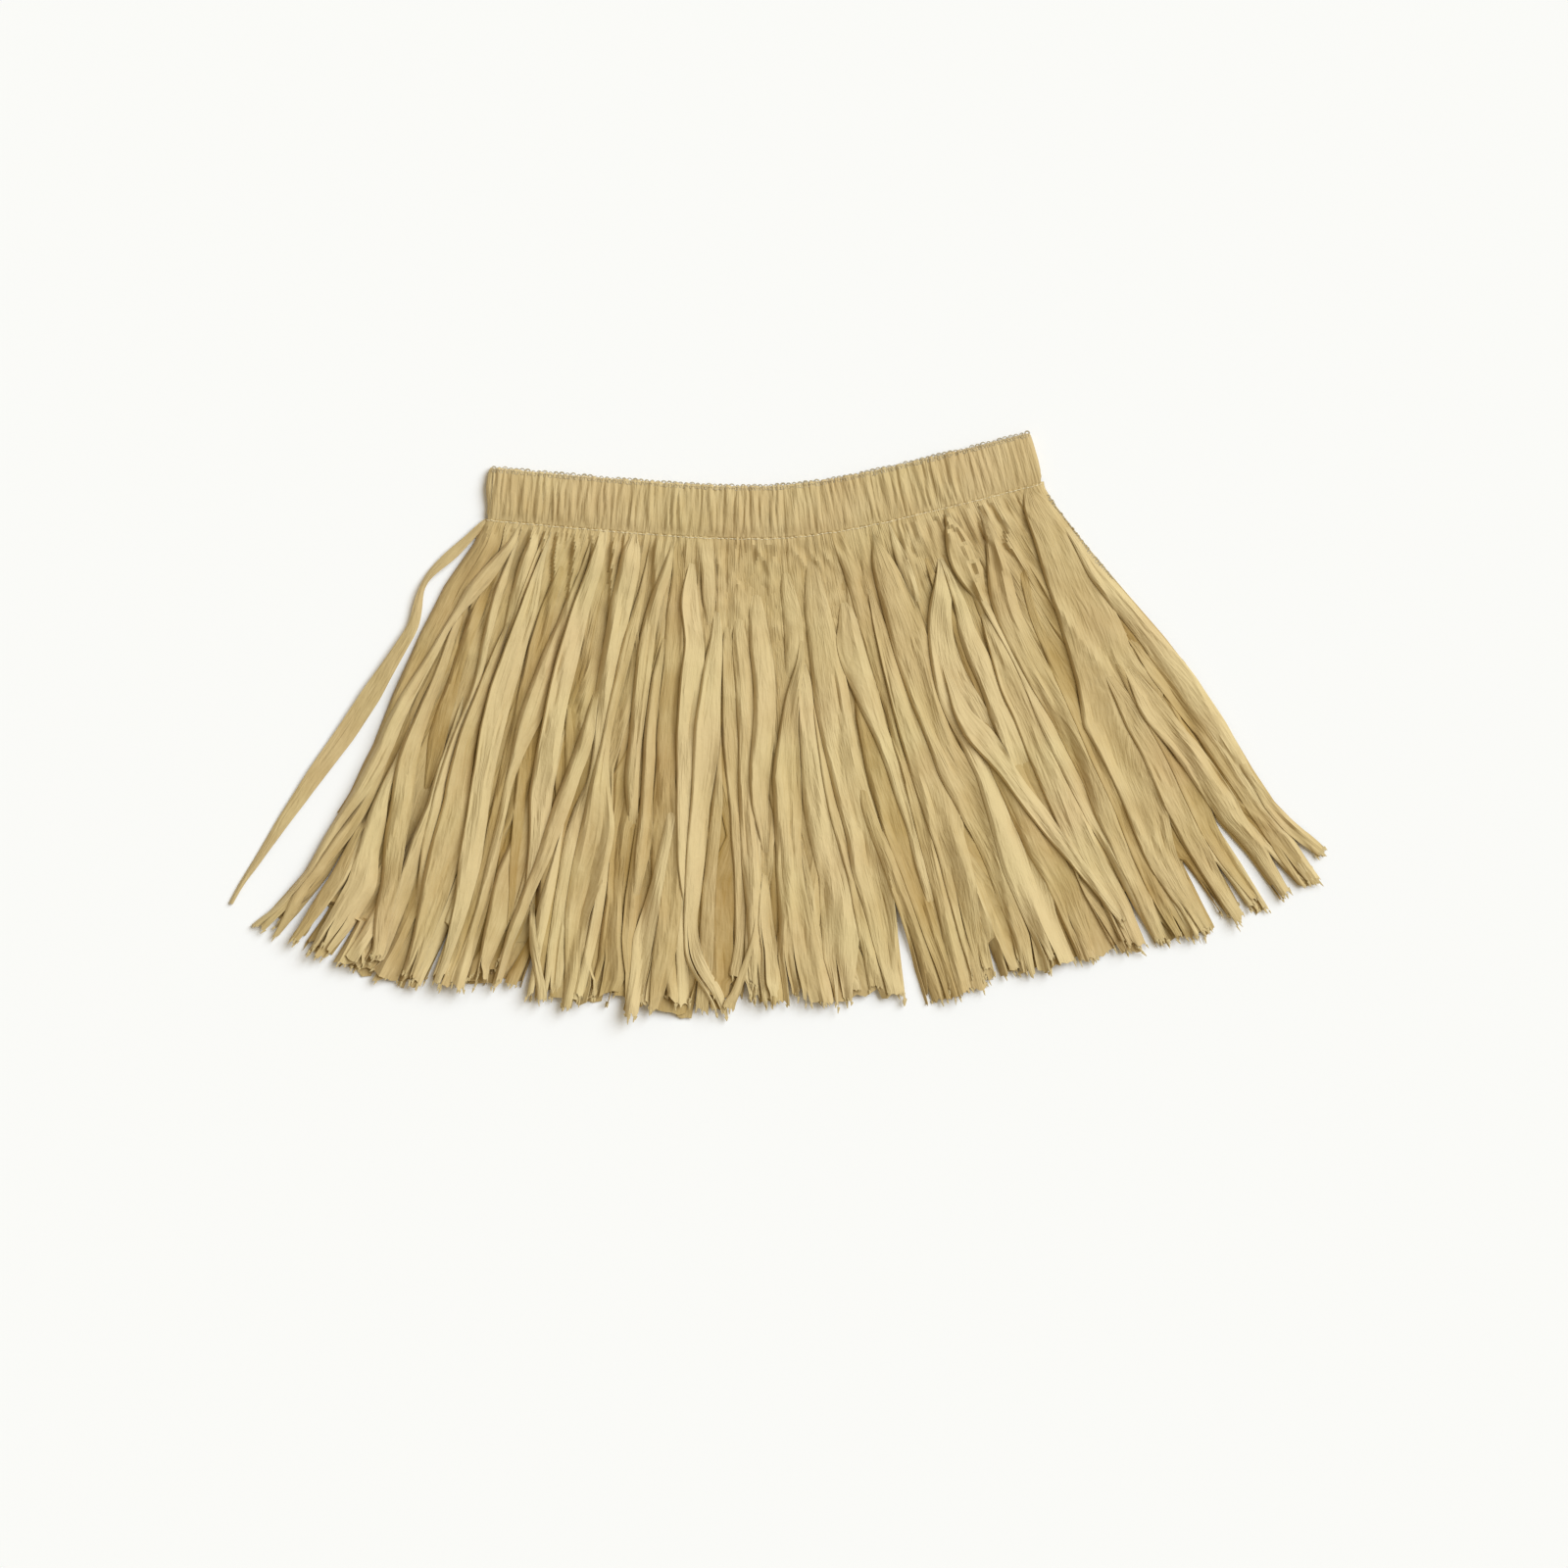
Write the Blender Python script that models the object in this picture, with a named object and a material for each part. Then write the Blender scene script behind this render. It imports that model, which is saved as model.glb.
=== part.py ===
"""Grass skirt laid flat: a gathered waistband, a folded head of cloth below it, and a fringe of slit strips.

Run it with: blender --background --python part.py
Units are metres and +Z is up. The skirt lies on z = 0 with its waistband towards +Y, the back panel
under the front panel, and the middle of its footprint is the origin.
"""

import math
import random

import bmesh
import bpy
import numpy
from mathutils import Vector

# ---------------------------------------------------------------- driving dimensions
WAIST_WIDTH = 0.411  # the relaxed waistband laid flat, from fold to fold
BAND_DROP = 0.038  # height of the waistband's casing
HEAD_DROP = 0.045  # uncut cloth between the casing's seam and the slits
HEM_DROP = 0.359  # from the casing's seam to the longest tips in the middle
CLOTH = 0.0010  # wall of the crinkled cloth
SEAM_GAP = 0.0003  # parting between pieces

# How the waistband lies: two nearly straight runs that meet in a soft bend near the middle.
BEND_X = 0.022
BEND_REACH = 0.060
SLOPE_MEAN = 0.085  # mean of the two runs' slopes
SLOPE_HALF = 0.184  # half the difference between them

# How the strips fan out below the seam, as angles from straight down, towards +X.
FAN_MIDDLE = math.radians(3.75)
FAN_HALF = math.radians(33.75)

# How far each side edge bows outwards from its straight line.
#     drop   left    right
SIDE_BOW = (
    (0.000, 0.000, -0.002),
    (0.020, -0.002, -0.004),
    (0.060, 0.001, -0.004),
    (0.100, -0.001, -0.002),
    (0.150, -0.007, 0.001),
    (0.190, -0.014, 0.001),
    (0.230, -0.017, -0.002),
    (0.270, -0.016, -0.007),
    (0.300, -0.016, -0.009),
    (0.335, -0.010, -0.005),
    (0.370, -0.001, -0.003),
)
BOW_REACH = 3  # a strip bows with its side edge by this odd power of its place across the skirt

# Where the longest tips reach: place across the skirt, drop below the seam.
HEM_LINE = (
    (-1.00, 0.354),
    (-0.88, 0.360),
    (-0.72, 0.374),
    (-0.50, 0.362),
    (0.00, HEM_DROP),
    (0.50, 0.363),
    (0.72, 0.375),
    (0.90, 0.368),
    (1.00, 0.346),
)

# Partings in the hem where the strips have drawn apart: place across the skirt, width at the hem.
PARTINGS = (
    (-0.93, 0.014),
    (-0.64, 0.008),
    (-0.48, 0.006),
    (0.21, 0.022),
    (0.62, 0.012),
    (0.77, 0.014),
    (0.88, 0.018),
)
PARTING_TOP = 0.22  # drop where they begin
PARTING_REACH = 0.08  # how far across the skirt a parting pushes the strips beside it

# Waistband walls, from the table up.
BACK_BAND_TOP = 0.0030
FRONT_FLOOR = BACK_BAND_TOP + SEAM_GAP  # the front panel lies on the back panel
CASING = 0.0026  # casing and elastic between two gathers
GATHER_RISE = 0.0022  # how far a gather stands up from that
GATHERS = 60
GATHER_SPREAD = 0.22  # how uneven the gathers' and folds' widths are
SCALLOP = 0.0008  # how far a gather's edge stands out past the waist edge
BACK_BAND_STEPS = 30

# A gather's rise down the casing: drop below the waist edge, share of the full rise.
GATHER_ROWS = ((0.000, 0.35), (0.007, 1.00), (0.031, 0.90), (BAND_DROP - SEAM_GAP, 0.30))

# Folds of the head, each with one strip from its ridge and one from its valley.
FRONT_FOLDS = 48
BACK_FOLDS = 42
VALLEY_SHARE = 0.34  # share of a fold's width that lies in the valley, and again on the ridge
SLOPE_SHARE = 0.16
FRONT_RISE = 0.0060  # from a valley to a ridge once the cloth has opened out below the casing
BACK_RISE = 0.0014
BACK_VALLEY = 0.0009  # middle of the back strips' lower layer, just above the table
BACK_HEAD_VALLEY_TOP = 0.0022

# The front folds open out below the seam: drop, rise.
FRONT_HEAD_ROWS = ((SEAM_GAP, 0.0022), (0.014, 0.0042), (HEAD_DROP, FRONT_RISE))

BACKING = 0.0040  # strip of cloth, parted from the head's edge, that carries a fringe
STRIP_HALF = 0.0044  # half the width of an open strip
WANDER_SHARE = 0.42  # share of the gap between two strips of one layer that each may wander into
TIP_LONGER = 0.004  # how uneven the hem is
TIP_SHORTER = 0.010
TIP_SKEW = 0.45  # a tip is cut up to this far off square, as a slope
TOP_NARROWING = 0.82  # a strip's upper face is this share of its lower face

# Where a fringe strip has its cross-sections, as drops below the seam, and how open it is there.
#                     drop   openness
FRONT_SECTIONS = ((0.075, 0.45), (0.120, 0.85), (0.190, 1.00), (0.270, 1.00), (HEM_DROP, 0.80))
BACK_SECTIONS = ((0.090, 0.60), (0.170, 1.00), (0.260, 1.00), (HEM_DROP, 0.80))

# Heights of each layer's middle at those sections.
FRONT_LOWER = (0.0040, 0.0040, 0.0040, 0.0040, 0.0040)
FRONT_UPPER = (0.0092, 0.0078, 0.0064, 0.0060, 0.0058)
FRONT_CROSSING = (0.0114, 0.0108, 0.0092, 0.0082, 0.0076)
BACK_LOWER = (BACK_VALLEY,) * 4
BACK_UPPER = (0.0023, 0.0023, 0.0023, 0.0023)

# Ridge strips that lie across their neighbours: fold number, and sideways lean at the tip.
CROSSING_STRIPS = {3: -0.016, 9: 0.016, 16: -0.045, 22: 0.020, 27: -0.014, 33: 0.022, 38: -0.018, 44: 0.012}

# The one strip that has come loose at the left side: x, y, half width. Its place is in the lay frame,
# where y = 0 is the waist edge's height at its bend.
LOOSE_STRIP = (
    (-0.2223, -0.0410, 0.0030),
    (-0.2361, -0.0541, 0.0044),
    (-0.2501, -0.0660, 0.0026),
    (-0.2575, -0.0771, 0.0014),
    (-0.2598, -0.0883, 0.0034),
    (-0.2626, -0.1061, 0.0040),
    (-0.2815, -0.1365, 0.0055),
    (-0.2948, -0.1578, 0.0076),
    (-0.3146, -0.1877, 0.0075),
    (-0.3365, -0.2176, 0.0065),
    (-0.3640, -0.2574, 0.0044),
    (-0.3771, -0.2774, 0.0030),
    (-0.3947, -0.3032, 0.0016),
    (-0.4034, -0.3192, 0.0012),
)
LOOSE_HEIGHT = 0.0016
LOOSE_ROOT = (0.12, 0.28)  # where its root lies along the side edge of the back panel's head


# ---------------------------------------------------------------- how the skirt lies
def waist_edge(u):
    """Point and downward direction on the waist edge. u runs from -1 at the left fold to 1 at the right."""
    x = u * WAIST_WIDTH / 2
    from_bend = x - BEND_X
    reach = math.hypot(from_bend, BEND_REACH)
    y = SLOPE_MEAN * from_bend + SLOPE_HALF * (reach - BEND_REACH)
    slope = SLOPE_MEAN + SLOPE_HALF * from_bend / reach
    return Vector((x, y, 0)), Vector((slope, -1, 0)).normalized()


def on_band(u, drop):
    """A point of the waistband, that far below the waist edge."""
    edge, down = waist_edge(u)
    return edge + drop * down


def on_skirt(u, drop):
    """A point of the skirt, that far below the casing's seam, along its fan."""
    angle = FAN_MIDDLE + FAN_HALF * u
    down = Vector((math.sin(angle), -math.cos(angle), 0))
    across = Vector((math.cos(angle), math.sin(angle), 0))
    drops, *sides = zip(*SIDE_BOW)
    bow = float(numpy.interp(drop, drops, sides[0] if u < 0 else sides[1]))
    return on_band(u, BAND_DROP) + drop * down + bow * u**BOW_REACH * across


def parted(u, drop):
    """Where a strip at u lies across the skirt once the partings have pushed it aside."""
    share = max(0, (drop - PARTING_TOP) / (HEM_DROP - PARTING_TOP))
    hem_width = WAIST_WIDTH + 2 * FAN_HALF * HEM_DROP
    moved = u
    for middle, width in PARTINGS:
        push = width / hem_width * math.exp(-abs(u - middle) / PARTING_REACH)
        moved += math.copysign(push * share, u - middle)
    return moved


def hem_drop(u):
    """Drop of the longest tips at u."""
    places, drops = zip(*HEM_LINE)
    return float(numpy.interp(u, places, drops))


def raised(point, height):
    return Vector((point.x, point.y, height))


# ---------------------------------------------------------------- meshes
class Shell:
    """The points and faces of one closed piece, gathered before they become a mesh."""

    def __init__(self):
        self.points = []
        self.faces = []

    def ring(self, points):
        """Adds points and returns their numbers."""
        first = len(self.points)
        self.points += points
        return list(range(first, len(self.points)))

    def bridge(self, a, b, leave_out=()):
        """Joins two rings of equal length side by side, but for the sides named."""
        count = len(a)
        for side in range(count):
            if side not in leave_out:
                after = (side + 1) % count
                self.faces.append((a[side], a[after], b[after], b[side]))

    def cap(self, ring):
        self.faces.append(tuple(ring))

    def loft(self, rings):
        """A closed body through rings of points."""
        numbers = [self.ring(points) for points in rings]
        for a, b in zip(numbers, numbers[1:]):
            self.bridge(a, b)
        self.cap(numbers[0])
        self.cap(numbers[-1])

    def object(self, name, material):
        mesh = bpy.data.meshes.new(name)
        mesh.from_pydata([tuple(p) for p in self.points], [], self.faces)
        work = bmesh.new()
        work.from_mesh(mesh)
        bmesh.ops.recalc_face_normals(work, faces=work.faces)
        work.to_mesh(mesh)
        work.free()
        mesh.shade_smooth()
        mesh.set_sharp_from_angle(angle=math.radians(50))
        mesh.materials.append(material)
        made = bpy.data.objects.new(name, mesh)
        bpy.context.scene.collection.objects.link(made)
        return made


def finish(name, colour, roughness):
    """A cloth material of one sRGB colour, given as 0 to 255."""
    material = bpy.data.materials.new(name)
    material.use_nodes = True
    shader = material.node_tree.nodes["Principled BSDF"]
    linear = [((c / 255 + 0.055) / 1.055) ** 2.4 for c in colour]
    shader.inputs["Base Color"].default_value = (*linear, 1)
    shader.inputs["Roughness"].default_value = roughness
    shader.inputs["Metallic"].default_value = 0
    return material


# ---------------------------------------------------------------- waistband
def uneven_cells(count, seed):
    """Borders of count cells of uneven width that fill u from -1 to 1."""
    draw = random.Random(seed)
    widths = [1 + draw.uniform(-GATHER_SPREAD, GATHER_SPREAD) for _ in range(count)]
    total = sum(widths)
    borders = [-1.0]
    for width in widths:
        borders.append(borders[-1] + 2 * width / total)
    borders[-1] = 1.0
    return borders


def front_band(material):
    """The casing's front half: a plain inside, and gathers that stand up on its outer points."""
    draw = random.Random(3)
    borders = uneven_cells(GATHERS, 11)
    columns = []  # u, share of the full rise
    for left, right in zip(borders, borders[1:]):
        columns.append((left, 0.0))
        columns.append((left + (right - left) * draw.uniform(0.4, 0.6), draw.uniform(0.7, 1.0)))
    columns.append((1.0, 0.0))
    rings = []
    for u, rise in columns:
        outer = []
        for drop, share in GATHER_ROWS:
            past_edge = SCALLOP * rise if drop == 0 else 0
            height = FRONT_FLOOR + CASING + GATHER_RISE * rise * share
            outer.append(raised(on_band(u, drop - past_edge), height))
        inner = [raised(point, FRONT_FLOOR) for point in (outer[-1], outer[0])]
        rings.append(outer + inner)
    shell = Shell()
    shell.loft(rings)
    return shell.object("waistband_front", material)


def back_band(material):
    """The casing's back half, flat where it lies on the table."""
    rings = []
    for step in range(BACK_BAND_STEPS + 1):
        u = -1 + 2 * step / BACK_BAND_STEPS
        top = on_band(u, 0)
        foot = on_band(u, BAND_DROP - SEAM_GAP)
        rings.append(
            [raised(top, BACK_BAND_TOP), raised(foot, BACK_BAND_TOP), raised(foot, 0), raised(top, 0)]
        )
    shell = Shell()
    shell.loft(rings)
    return shell.object("waistband_back", material)


# ---------------------------------------------------------------- head
def fold_columns(count, seed):
    """(u, level, height) of each crease of the folds: level 0 is a valley's side and 1 a ridge's."""
    draw = random.Random(seed)
    columns = []
    borders = uneven_cells(count, seed + 1)
    for left, right in zip(borders, borders[1:]):
        width = right - left
        height = draw.uniform(0.82, 1.0)
        at = left
        for level, share in ((0, VALLEY_SHARE), (0, SLOPE_SHARE), (1, VALLEY_SHARE), (1, SLOPE_SHARE)):
            columns.append((at, level, height))
            at += width * share
    columns.append((1.0, 0, 1.0))
    return columns


def folded_row(columns, drop, valley, rise):
    """The wall's upper and lower points along one row of the folded cloth, a cloth's thickness apart."""
    middle = [raised(on_skirt(u, drop), valley + rise * level * height) for u, level, height in columns]
    upper, lower = [], []
    for k, (u, _, _) in enumerate(columns):
        ahead = on_skirt(u, drop + 0.01) - on_skirt(u, drop)
        normals = []
        for a, b in ((k - 1, k), (k, k + 1)):
            if a >= 0 and b < len(middle):
                normals.append(ahead.cross(middle[b] - middle[a]).normalized())
        mitre = sum(normals, Vector()).normalized()
        offset = mitre * (CLOTH / 2 / mitre.dot(normals[0]))
        upper.append(middle[k] + offset)
        lower.append(middle[k] - offset)
    return upper, lower


def front_head(columns, material):
    """The uncut cloth below the front seam, whose gathers grow into folds."""
    rows = [folded_row(columns, drop, FRONT_FLOOR + CLOTH / 2, rise) for drop, rise in FRONT_HEAD_ROWS]
    rings = []
    for k in range(len(columns)):
        rings.append([upper[k] for upper, _ in rows] + [lower[k] for _, lower in reversed(rows)])
    shell = Shell()
    shell.loft(rings)
    return shell.object("skirt_front", material)


def back_head(columns, material):
    """The uncut cloth of the back panel: low folds above, and flat where it lies on the table."""
    rings = []
    for u, level, _ in columns:
        top_height = BACK_BAND_TOP if level else BACK_HEAD_VALLEY_TOP
        top = on_skirt(u, SEAM_GAP)
        foot = on_skirt(u, HEAD_DROP)
        rings.append([raised(top, top_height), raised(foot, top_height), raised(foot, 0), raised(top, 0)])
    shell = Shell()
    shell.loft(rings)
    return shell.object("skirt_back", material)


# ---------------------------------------------------------------- fringe
def strip_sections(u, neighbours, sections, heights, root_half, lean, draw):
    """The rings of four points along one strip, from its first free section to its cut tip.

    neighbours are the places across the skirt of the next strips in the same layer.
    """
    drift, sway = draw.uniform(-0.5, 0.5), draw.uniform(-0.5, 0.5)
    tip = hem_drop(u) + draw.uniform(-TIP_SHORTER, TIP_LONGER)
    skew = draw.uniform(-TIP_SKEW, TIP_SKEW)
    spine = []
    for (drop, openness), height in zip(sections, heights):
        along = drop / HEM_DROP
        last = drop == HEM_DROP
        drop = tip if last else drop
        centre = on_skirt(parted(u, drop), drop)
        spacing = min((on_skirt(parted(other, drop), drop) - centre).length for other in neighbours)
        half = root_half + (STRIP_HALF - root_half) * openness
        room = WANDER_SHARE * max(0, spacing - 2 * half)
        wander = room * (drift * along + sway * math.sin(math.pi * along)) + lean * along**2
        across = (on_skirt(u + 0.01, drop) - on_skirt(u, drop)).normalized()
        spine.append((raised(centre + wander * across, height), half, skew if last else 0))
    rings = []
    for k, (centre, half, tilt) in enumerate(spine):
        before = spine[max(k - 1, 0)][0]
        after = spine[min(k + 1, len(spine) - 1)][0]
        ahead = (after - before).normalized()
        across = ahead.cross(Vector((0, 0, -1))).normalized() + tilt * ahead
        up = across.cross(ahead).normalized() * CLOTH / 2
        if up.z < 0:
            up = -up
        rings.append(
            [
                centre - across * half * TOP_NARROWING + up,
                centre + across * half * TOP_NARROWING + up,
                centre + across * half - up,
                centre - across * half - up,
            ]
        )
    return rings


def fringe(name, columns, valley, rise, sections, layers, crossing, seed, material):
    """A backing strip that carries on the head's folds, and the strips that hang from it.

    Each flat of a fold carries one strip: a valley's is in the lower layer and a ridge's in the upper.
    """
    draw = random.Random(seed)
    lower_heights, upper_heights, crossing_heights = layers
    first = folded_row(columns, HEAD_DROP + SEAM_GAP, valley, rise)
    second = folded_row(columns, HEAD_DROP + BACKING, valley, rise)
    shell = Shell()
    rings = []
    for k in range(len(columns)):
        rings.append(shell.ring([first[0][k], second[0][k], second[1][k], first[1][k]]))
    shell.cap(rings[0])
    shell.cap(rings[-1])
    middles = [(a[0] + b[0]) / 2 for a, b in zip(columns, columns[1:])]
    for k, (a, b) in enumerate(zip(rings, rings[1:])):
        if k % 2:  # a slope between two flats
            shell.bridge(a, b)
            continue
        shell.bridge(a, b, leave_out=(1,))
        neighbours = [middles[other] for other in (k - 4, k + 4) if 0 <= other < len(middles)]
        root_half = (shell.points[a[1]] - shell.points[b[1]]).length / 2
        level = columns[k][1]
        lean = crossing.get(k // 4, 0) if level else 0
        heights = lower_heights if not level else crossing_heights if lean else upper_heights
        before = [a[1], b[1], b[2], a[2]]
        for ring in strip_sections(middles[k], neighbours, sections, heights, root_half, lean, draw):
            after = shell.ring(ring)
            shell.bridge(before, after)
            before = after
        shell.cap(before)
    return shell.object(name, material)


def loose_strip(material):
    """The strip that has slipped out sideways from under the left fold."""
    head_top, head_foot = on_skirt(-1, SEAM_GAP), on_skirt(-1, HEAD_DROP)
    root = [head_top.lerp(head_foot, share) for share in LOOSE_ROOT]
    outwards = Vector((-SEAM_GAP, 0, 0))
    low, high = LOOSE_HEIGHT - CLOTH / 2, LOOSE_HEIGHT + CLOTH / 2
    sides = [(root[0] + outwards, root[1] + outwards)]
    centres = [Vector((x, y, 0)) for x, y, _ in LOOSE_STRIP]
    for k, (_, _, half) in enumerate(LOOSE_STRIP):
        before, after = centres[max(k - 1, 0)], centres[min(k + 1, len(centres) - 1)]
        ahead = (after - before).normalized()
        left = Vector((ahead.y, -ahead.x, 0)) * half
        sides.append((centres[k] + left, centres[k] - left))
    rings = [[raised(a, high), raised(b, high), raised(b, low), raised(a, low)] for a, b in sides]
    shell = Shell()
    shell.loft(rings)
    return shell.object("loose_strip", material)


# ---------------------------------------------------------------- the whole skirt
def centre_on_origin(objects):
    """Moves the meshes so that the middle of the footprint is the origin."""
    points = [vertex.co for made in objects for vertex in made.data.vertices]
    middle = Vector()
    for axis in (0, 1):
        values = [point[axis] for point in points]
        middle[axis] = (min(values) + max(values)) / 2
    for made in objects:
        for vertex in made.data.vertices:
            vertex.co -= middle


def main():
    for old in list(bpy.data.objects):
        bpy.data.objects.remove(old, do_unlink=True)
    band_cloth = finish("gathered_band_cloth", (205, 182, 134), 0.85)
    head_cloth = finish("crinkled_skirt_cloth", (203, 180, 131), 0.85)
    strip_cloth = finish("slit_strip_cloth", (209, 187, 138), 0.82)
    front_columns = fold_columns(FRONT_FOLDS, 21)
    back_columns = fold_columns(BACK_FOLDS, 47)
    centre_on_origin(
        [
            front_band(band_cloth),
            back_band(band_cloth),
            front_head(front_columns, head_cloth),
            back_head(back_columns, head_cloth),
            fringe(
                "fringe_front",
                front_columns,
                FRONT_FLOOR + CLOTH / 2,
                FRONT_RISE,
                FRONT_SECTIONS,
                (FRONT_LOWER, FRONT_UPPER, FRONT_CROSSING),
                CROSSING_STRIPS,
                5,
                strip_cloth,
            ),
            fringe(
                "fringe_back",
                back_columns,
                BACK_VALLEY,
                BACK_RISE,
                BACK_SECTIONS,
                (BACK_LOWER, BACK_UPPER, BACK_UPPER),
                {},
                8,
                strip_cloth,
            ),
            loose_strip(strip_cloth),
        ]
    )


main()
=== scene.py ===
# %% [markdown]
# # A grass skirt, laid flat
#
# The real skirt is one tube of crinkled straw-coloured non-woven cloth. Its top is folded over an elastic and
# stitched down, which makes the gathered waistband. Below the seam the cloth stays whole for a few centimetres, and
# then it is slit into long strips down to a raw hem. It lies on its back, fanned out, so that the front strips lie
# in locks over each other and over the back panel.
#
# The lesson lays the cloth as a person lays the skirt: back first, then the front's own strips, then the locks that
# fold over them one by one. A height map of the pile says how high each new strip lies. That is quicker and steadier
# than a cloth simulation with two hundred strips, and each crease can be put where it belongs.

# %% The frame
import math
import bmesh
import bpy
import numpy as np
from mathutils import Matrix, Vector
from mathutils.bvhtree import BVHTree


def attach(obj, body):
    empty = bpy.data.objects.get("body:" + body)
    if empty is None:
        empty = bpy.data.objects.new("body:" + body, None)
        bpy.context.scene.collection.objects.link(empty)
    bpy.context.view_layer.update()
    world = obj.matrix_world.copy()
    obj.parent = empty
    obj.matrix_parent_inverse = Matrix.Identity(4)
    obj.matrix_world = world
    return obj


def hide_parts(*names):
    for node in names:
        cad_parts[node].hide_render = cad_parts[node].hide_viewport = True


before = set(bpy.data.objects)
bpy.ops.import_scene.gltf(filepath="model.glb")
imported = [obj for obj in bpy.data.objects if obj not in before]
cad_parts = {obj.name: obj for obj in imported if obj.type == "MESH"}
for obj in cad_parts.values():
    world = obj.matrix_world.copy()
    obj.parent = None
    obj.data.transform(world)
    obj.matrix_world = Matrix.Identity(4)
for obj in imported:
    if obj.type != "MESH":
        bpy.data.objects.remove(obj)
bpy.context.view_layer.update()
print("nodes:", ", ".join(sorted(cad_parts)))

# %% [markdown]
# ## The lay-out
#
# Every place on the skirt has two coordinates: u runs round from -1 at the left side to 1 at the right side, and w is
# the distance below the waistband's seam, negative in the band. Two functions turn them into metres on the table. The
# numbers are those of the CAD solids, so each piece of cloth lies exactly over its own solid.

# %% From cloth coordinates to the table
# Lengths are in metres. The band lies in a shallow bend, whose slope changes from side to side.
WAIST_WIDTH = 0.411
BAND_DROP = 0.038
HEM_DROP = 0.359
BEND_X = 0.022
BEND_REACH = 0.060
SLOPE_MEAN = 0.085
SLOPE_HALF = 0.184
# The strips fan out: the middle one leans by the first angle, those at the sides by the second one more or less.
FAN_MIDDLE = math.radians(3.75)
FAN_HALF = math.radians(33.75)
LAY_MIDDLE = (0.0112598, -0.1814733)
# How far the sides bow out. Columns: drop, left side, right side.
SIDE_BOW = np.array([
    (0.000, 0.000, -0.002), (0.020, -0.002, -0.004), (0.060, 0.001, -0.004), (0.100, -0.001, -0.002),
    (0.150, -0.007, 0.001), (0.190, -0.014, 0.001), (0.230, -0.017, -0.002), (0.270, -0.016, -0.007),
    (0.300, -0.016, -0.009), (0.335, -0.010, -0.005), (0.370, -0.001, -0.003)])
# The hem is not quite even. Columns: u, drop.
HEM_LINE = np.array([
    (-1.00, 0.351), (-0.88, 0.360), (-0.72, 0.372), (-0.62, 0.360), (-0.50, 0.358), (-0.40, 0.360), (-0.20, 0.361),
    (-0.10, 0.350), (0.05, 0.351), (0.18, 0.355), (0.28, 0.362), (0.45, 0.358), (0.60, 0.364), (0.70, 0.373),
    (0.80, 0.371), (0.92, 0.369), (0.97, 0.356), (1.00, 0.346)])


def lay(u, w):
    """The place on the table of the cloth coordinates u and w, in metres."""
    u = np.asarray(u, float)
    w = np.asarray(w, float)
    x = u * WAIST_WIDTH / 2
    from_bend = x - BEND_X
    reach = np.hypot(from_bend, BEND_REACH)
    y = SLOPE_MEAN * from_bend + SLOPE_HALF * (reach - BEND_REACH)
    slope = SLOPE_MEAN + SLOPE_HALF * from_bend / reach
    down_x = slope / np.hypot(slope, 1)
    down_y = -1 / np.hypot(slope, 1)
    on_band = BAND_DROP + np.minimum(w, 0)
    drop = np.maximum(w, 0)
    angle = FAN_MIDDLE + FAN_HALF * u
    left = np.interp(drop, SIDE_BOW[:, 0], SIDE_BOW[:, 1])
    right = np.interp(drop, SIDE_BOW[:, 0], SIDE_BOW[:, 2])
    bow = np.where(u < 0, left, right) * u ** 3 * np.minimum(drop / 0.004, 1)
    x = x + on_band * down_x + drop * np.sin(angle) + bow * np.cos(angle) - LAY_MIDDLE[0]
    y = y + on_band * down_y - drop * np.cos(angle) + bow * np.sin(angle) - LAY_MIDDLE[1]
    return x, y


def spread(w):
    """How many metres one unit of u is, at the drop w."""
    return WAIST_WIDTH / 2 + FAN_HALF * np.maximum(w, 0)


def ease(t):
    """From 0 to 1 with a soft start and a soft end."""
    t = np.clip(t, 0, 1)
    return t * t * (3 - 2 * t)


def hem(u):
    """The drop of the hem at u."""
    return np.interp(u, HEM_LINE[:, 0], HEM_LINE[:, 1])


print("hem corners:", [tuple(round(float(v), 3) for v in lay(u, hem(u))) for u in (-1, 1)])

# %% [markdown]
# ## The camera
#
# The skirt is seen straight from above. A short lens near by would show the band's foot on one side only, so a long
# lens four metres away looks down on it. The view transform is Standard, which shows each colour as it was picked.

# %% Camera
def put(name, data):
    """An object in the scene for a mesh, a light or a camera, at the origin."""
    thing = bpy.data.objects.new(name, data)
    bpy.context.scene.collection.objects.link(thing)
    return thing


SEEN = 1.1896
SENSOR = 36
CAMERA_HEIGHT = 4.0
CLOTH_HEIGHT = 0.006
LOOKS_AT = (0.0178, -0.2266)
eye = bpy.data.cameras.new("camera")
eye.sensor_width = SENSOR
eye.lens = SENSOR * (CAMERA_HEIGHT - CLOTH_HEIGHT) / SEEN
camera = put("camera", eye)
camera.location = (LOOKS_AT[0] - LAY_MIDDLE[0], LOOKS_AT[1] - LAY_MIDDLE[1], CAMERA_HEIGHT)
bpy.context.scene.camera = camera
bpy.context.scene.view_settings.view_transform = "Standard"
print("lens", round(eye.lens, 1), "mm")

# %% [markdown]
# ## Finishes
#
# Colours are picked as they look on a screen, as sRGB hex, and one function turns them into the linear numbers that
# shaders use. One small function adds a node with its inputs, so a material reads from top to bottom.

# %% Colour and node helpers
def linear(code):
    """The linear colour, with alpha, of an sRGB hex code."""
    parts = [int(code[i:i + 2], 16) / 255 for i in (0, 2, 4)]
    return [p / 12.92 if p <= 0.04045 else ((p + 0.055) / 1.055) ** 2.4 for p in parts] + [1.0]


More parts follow.
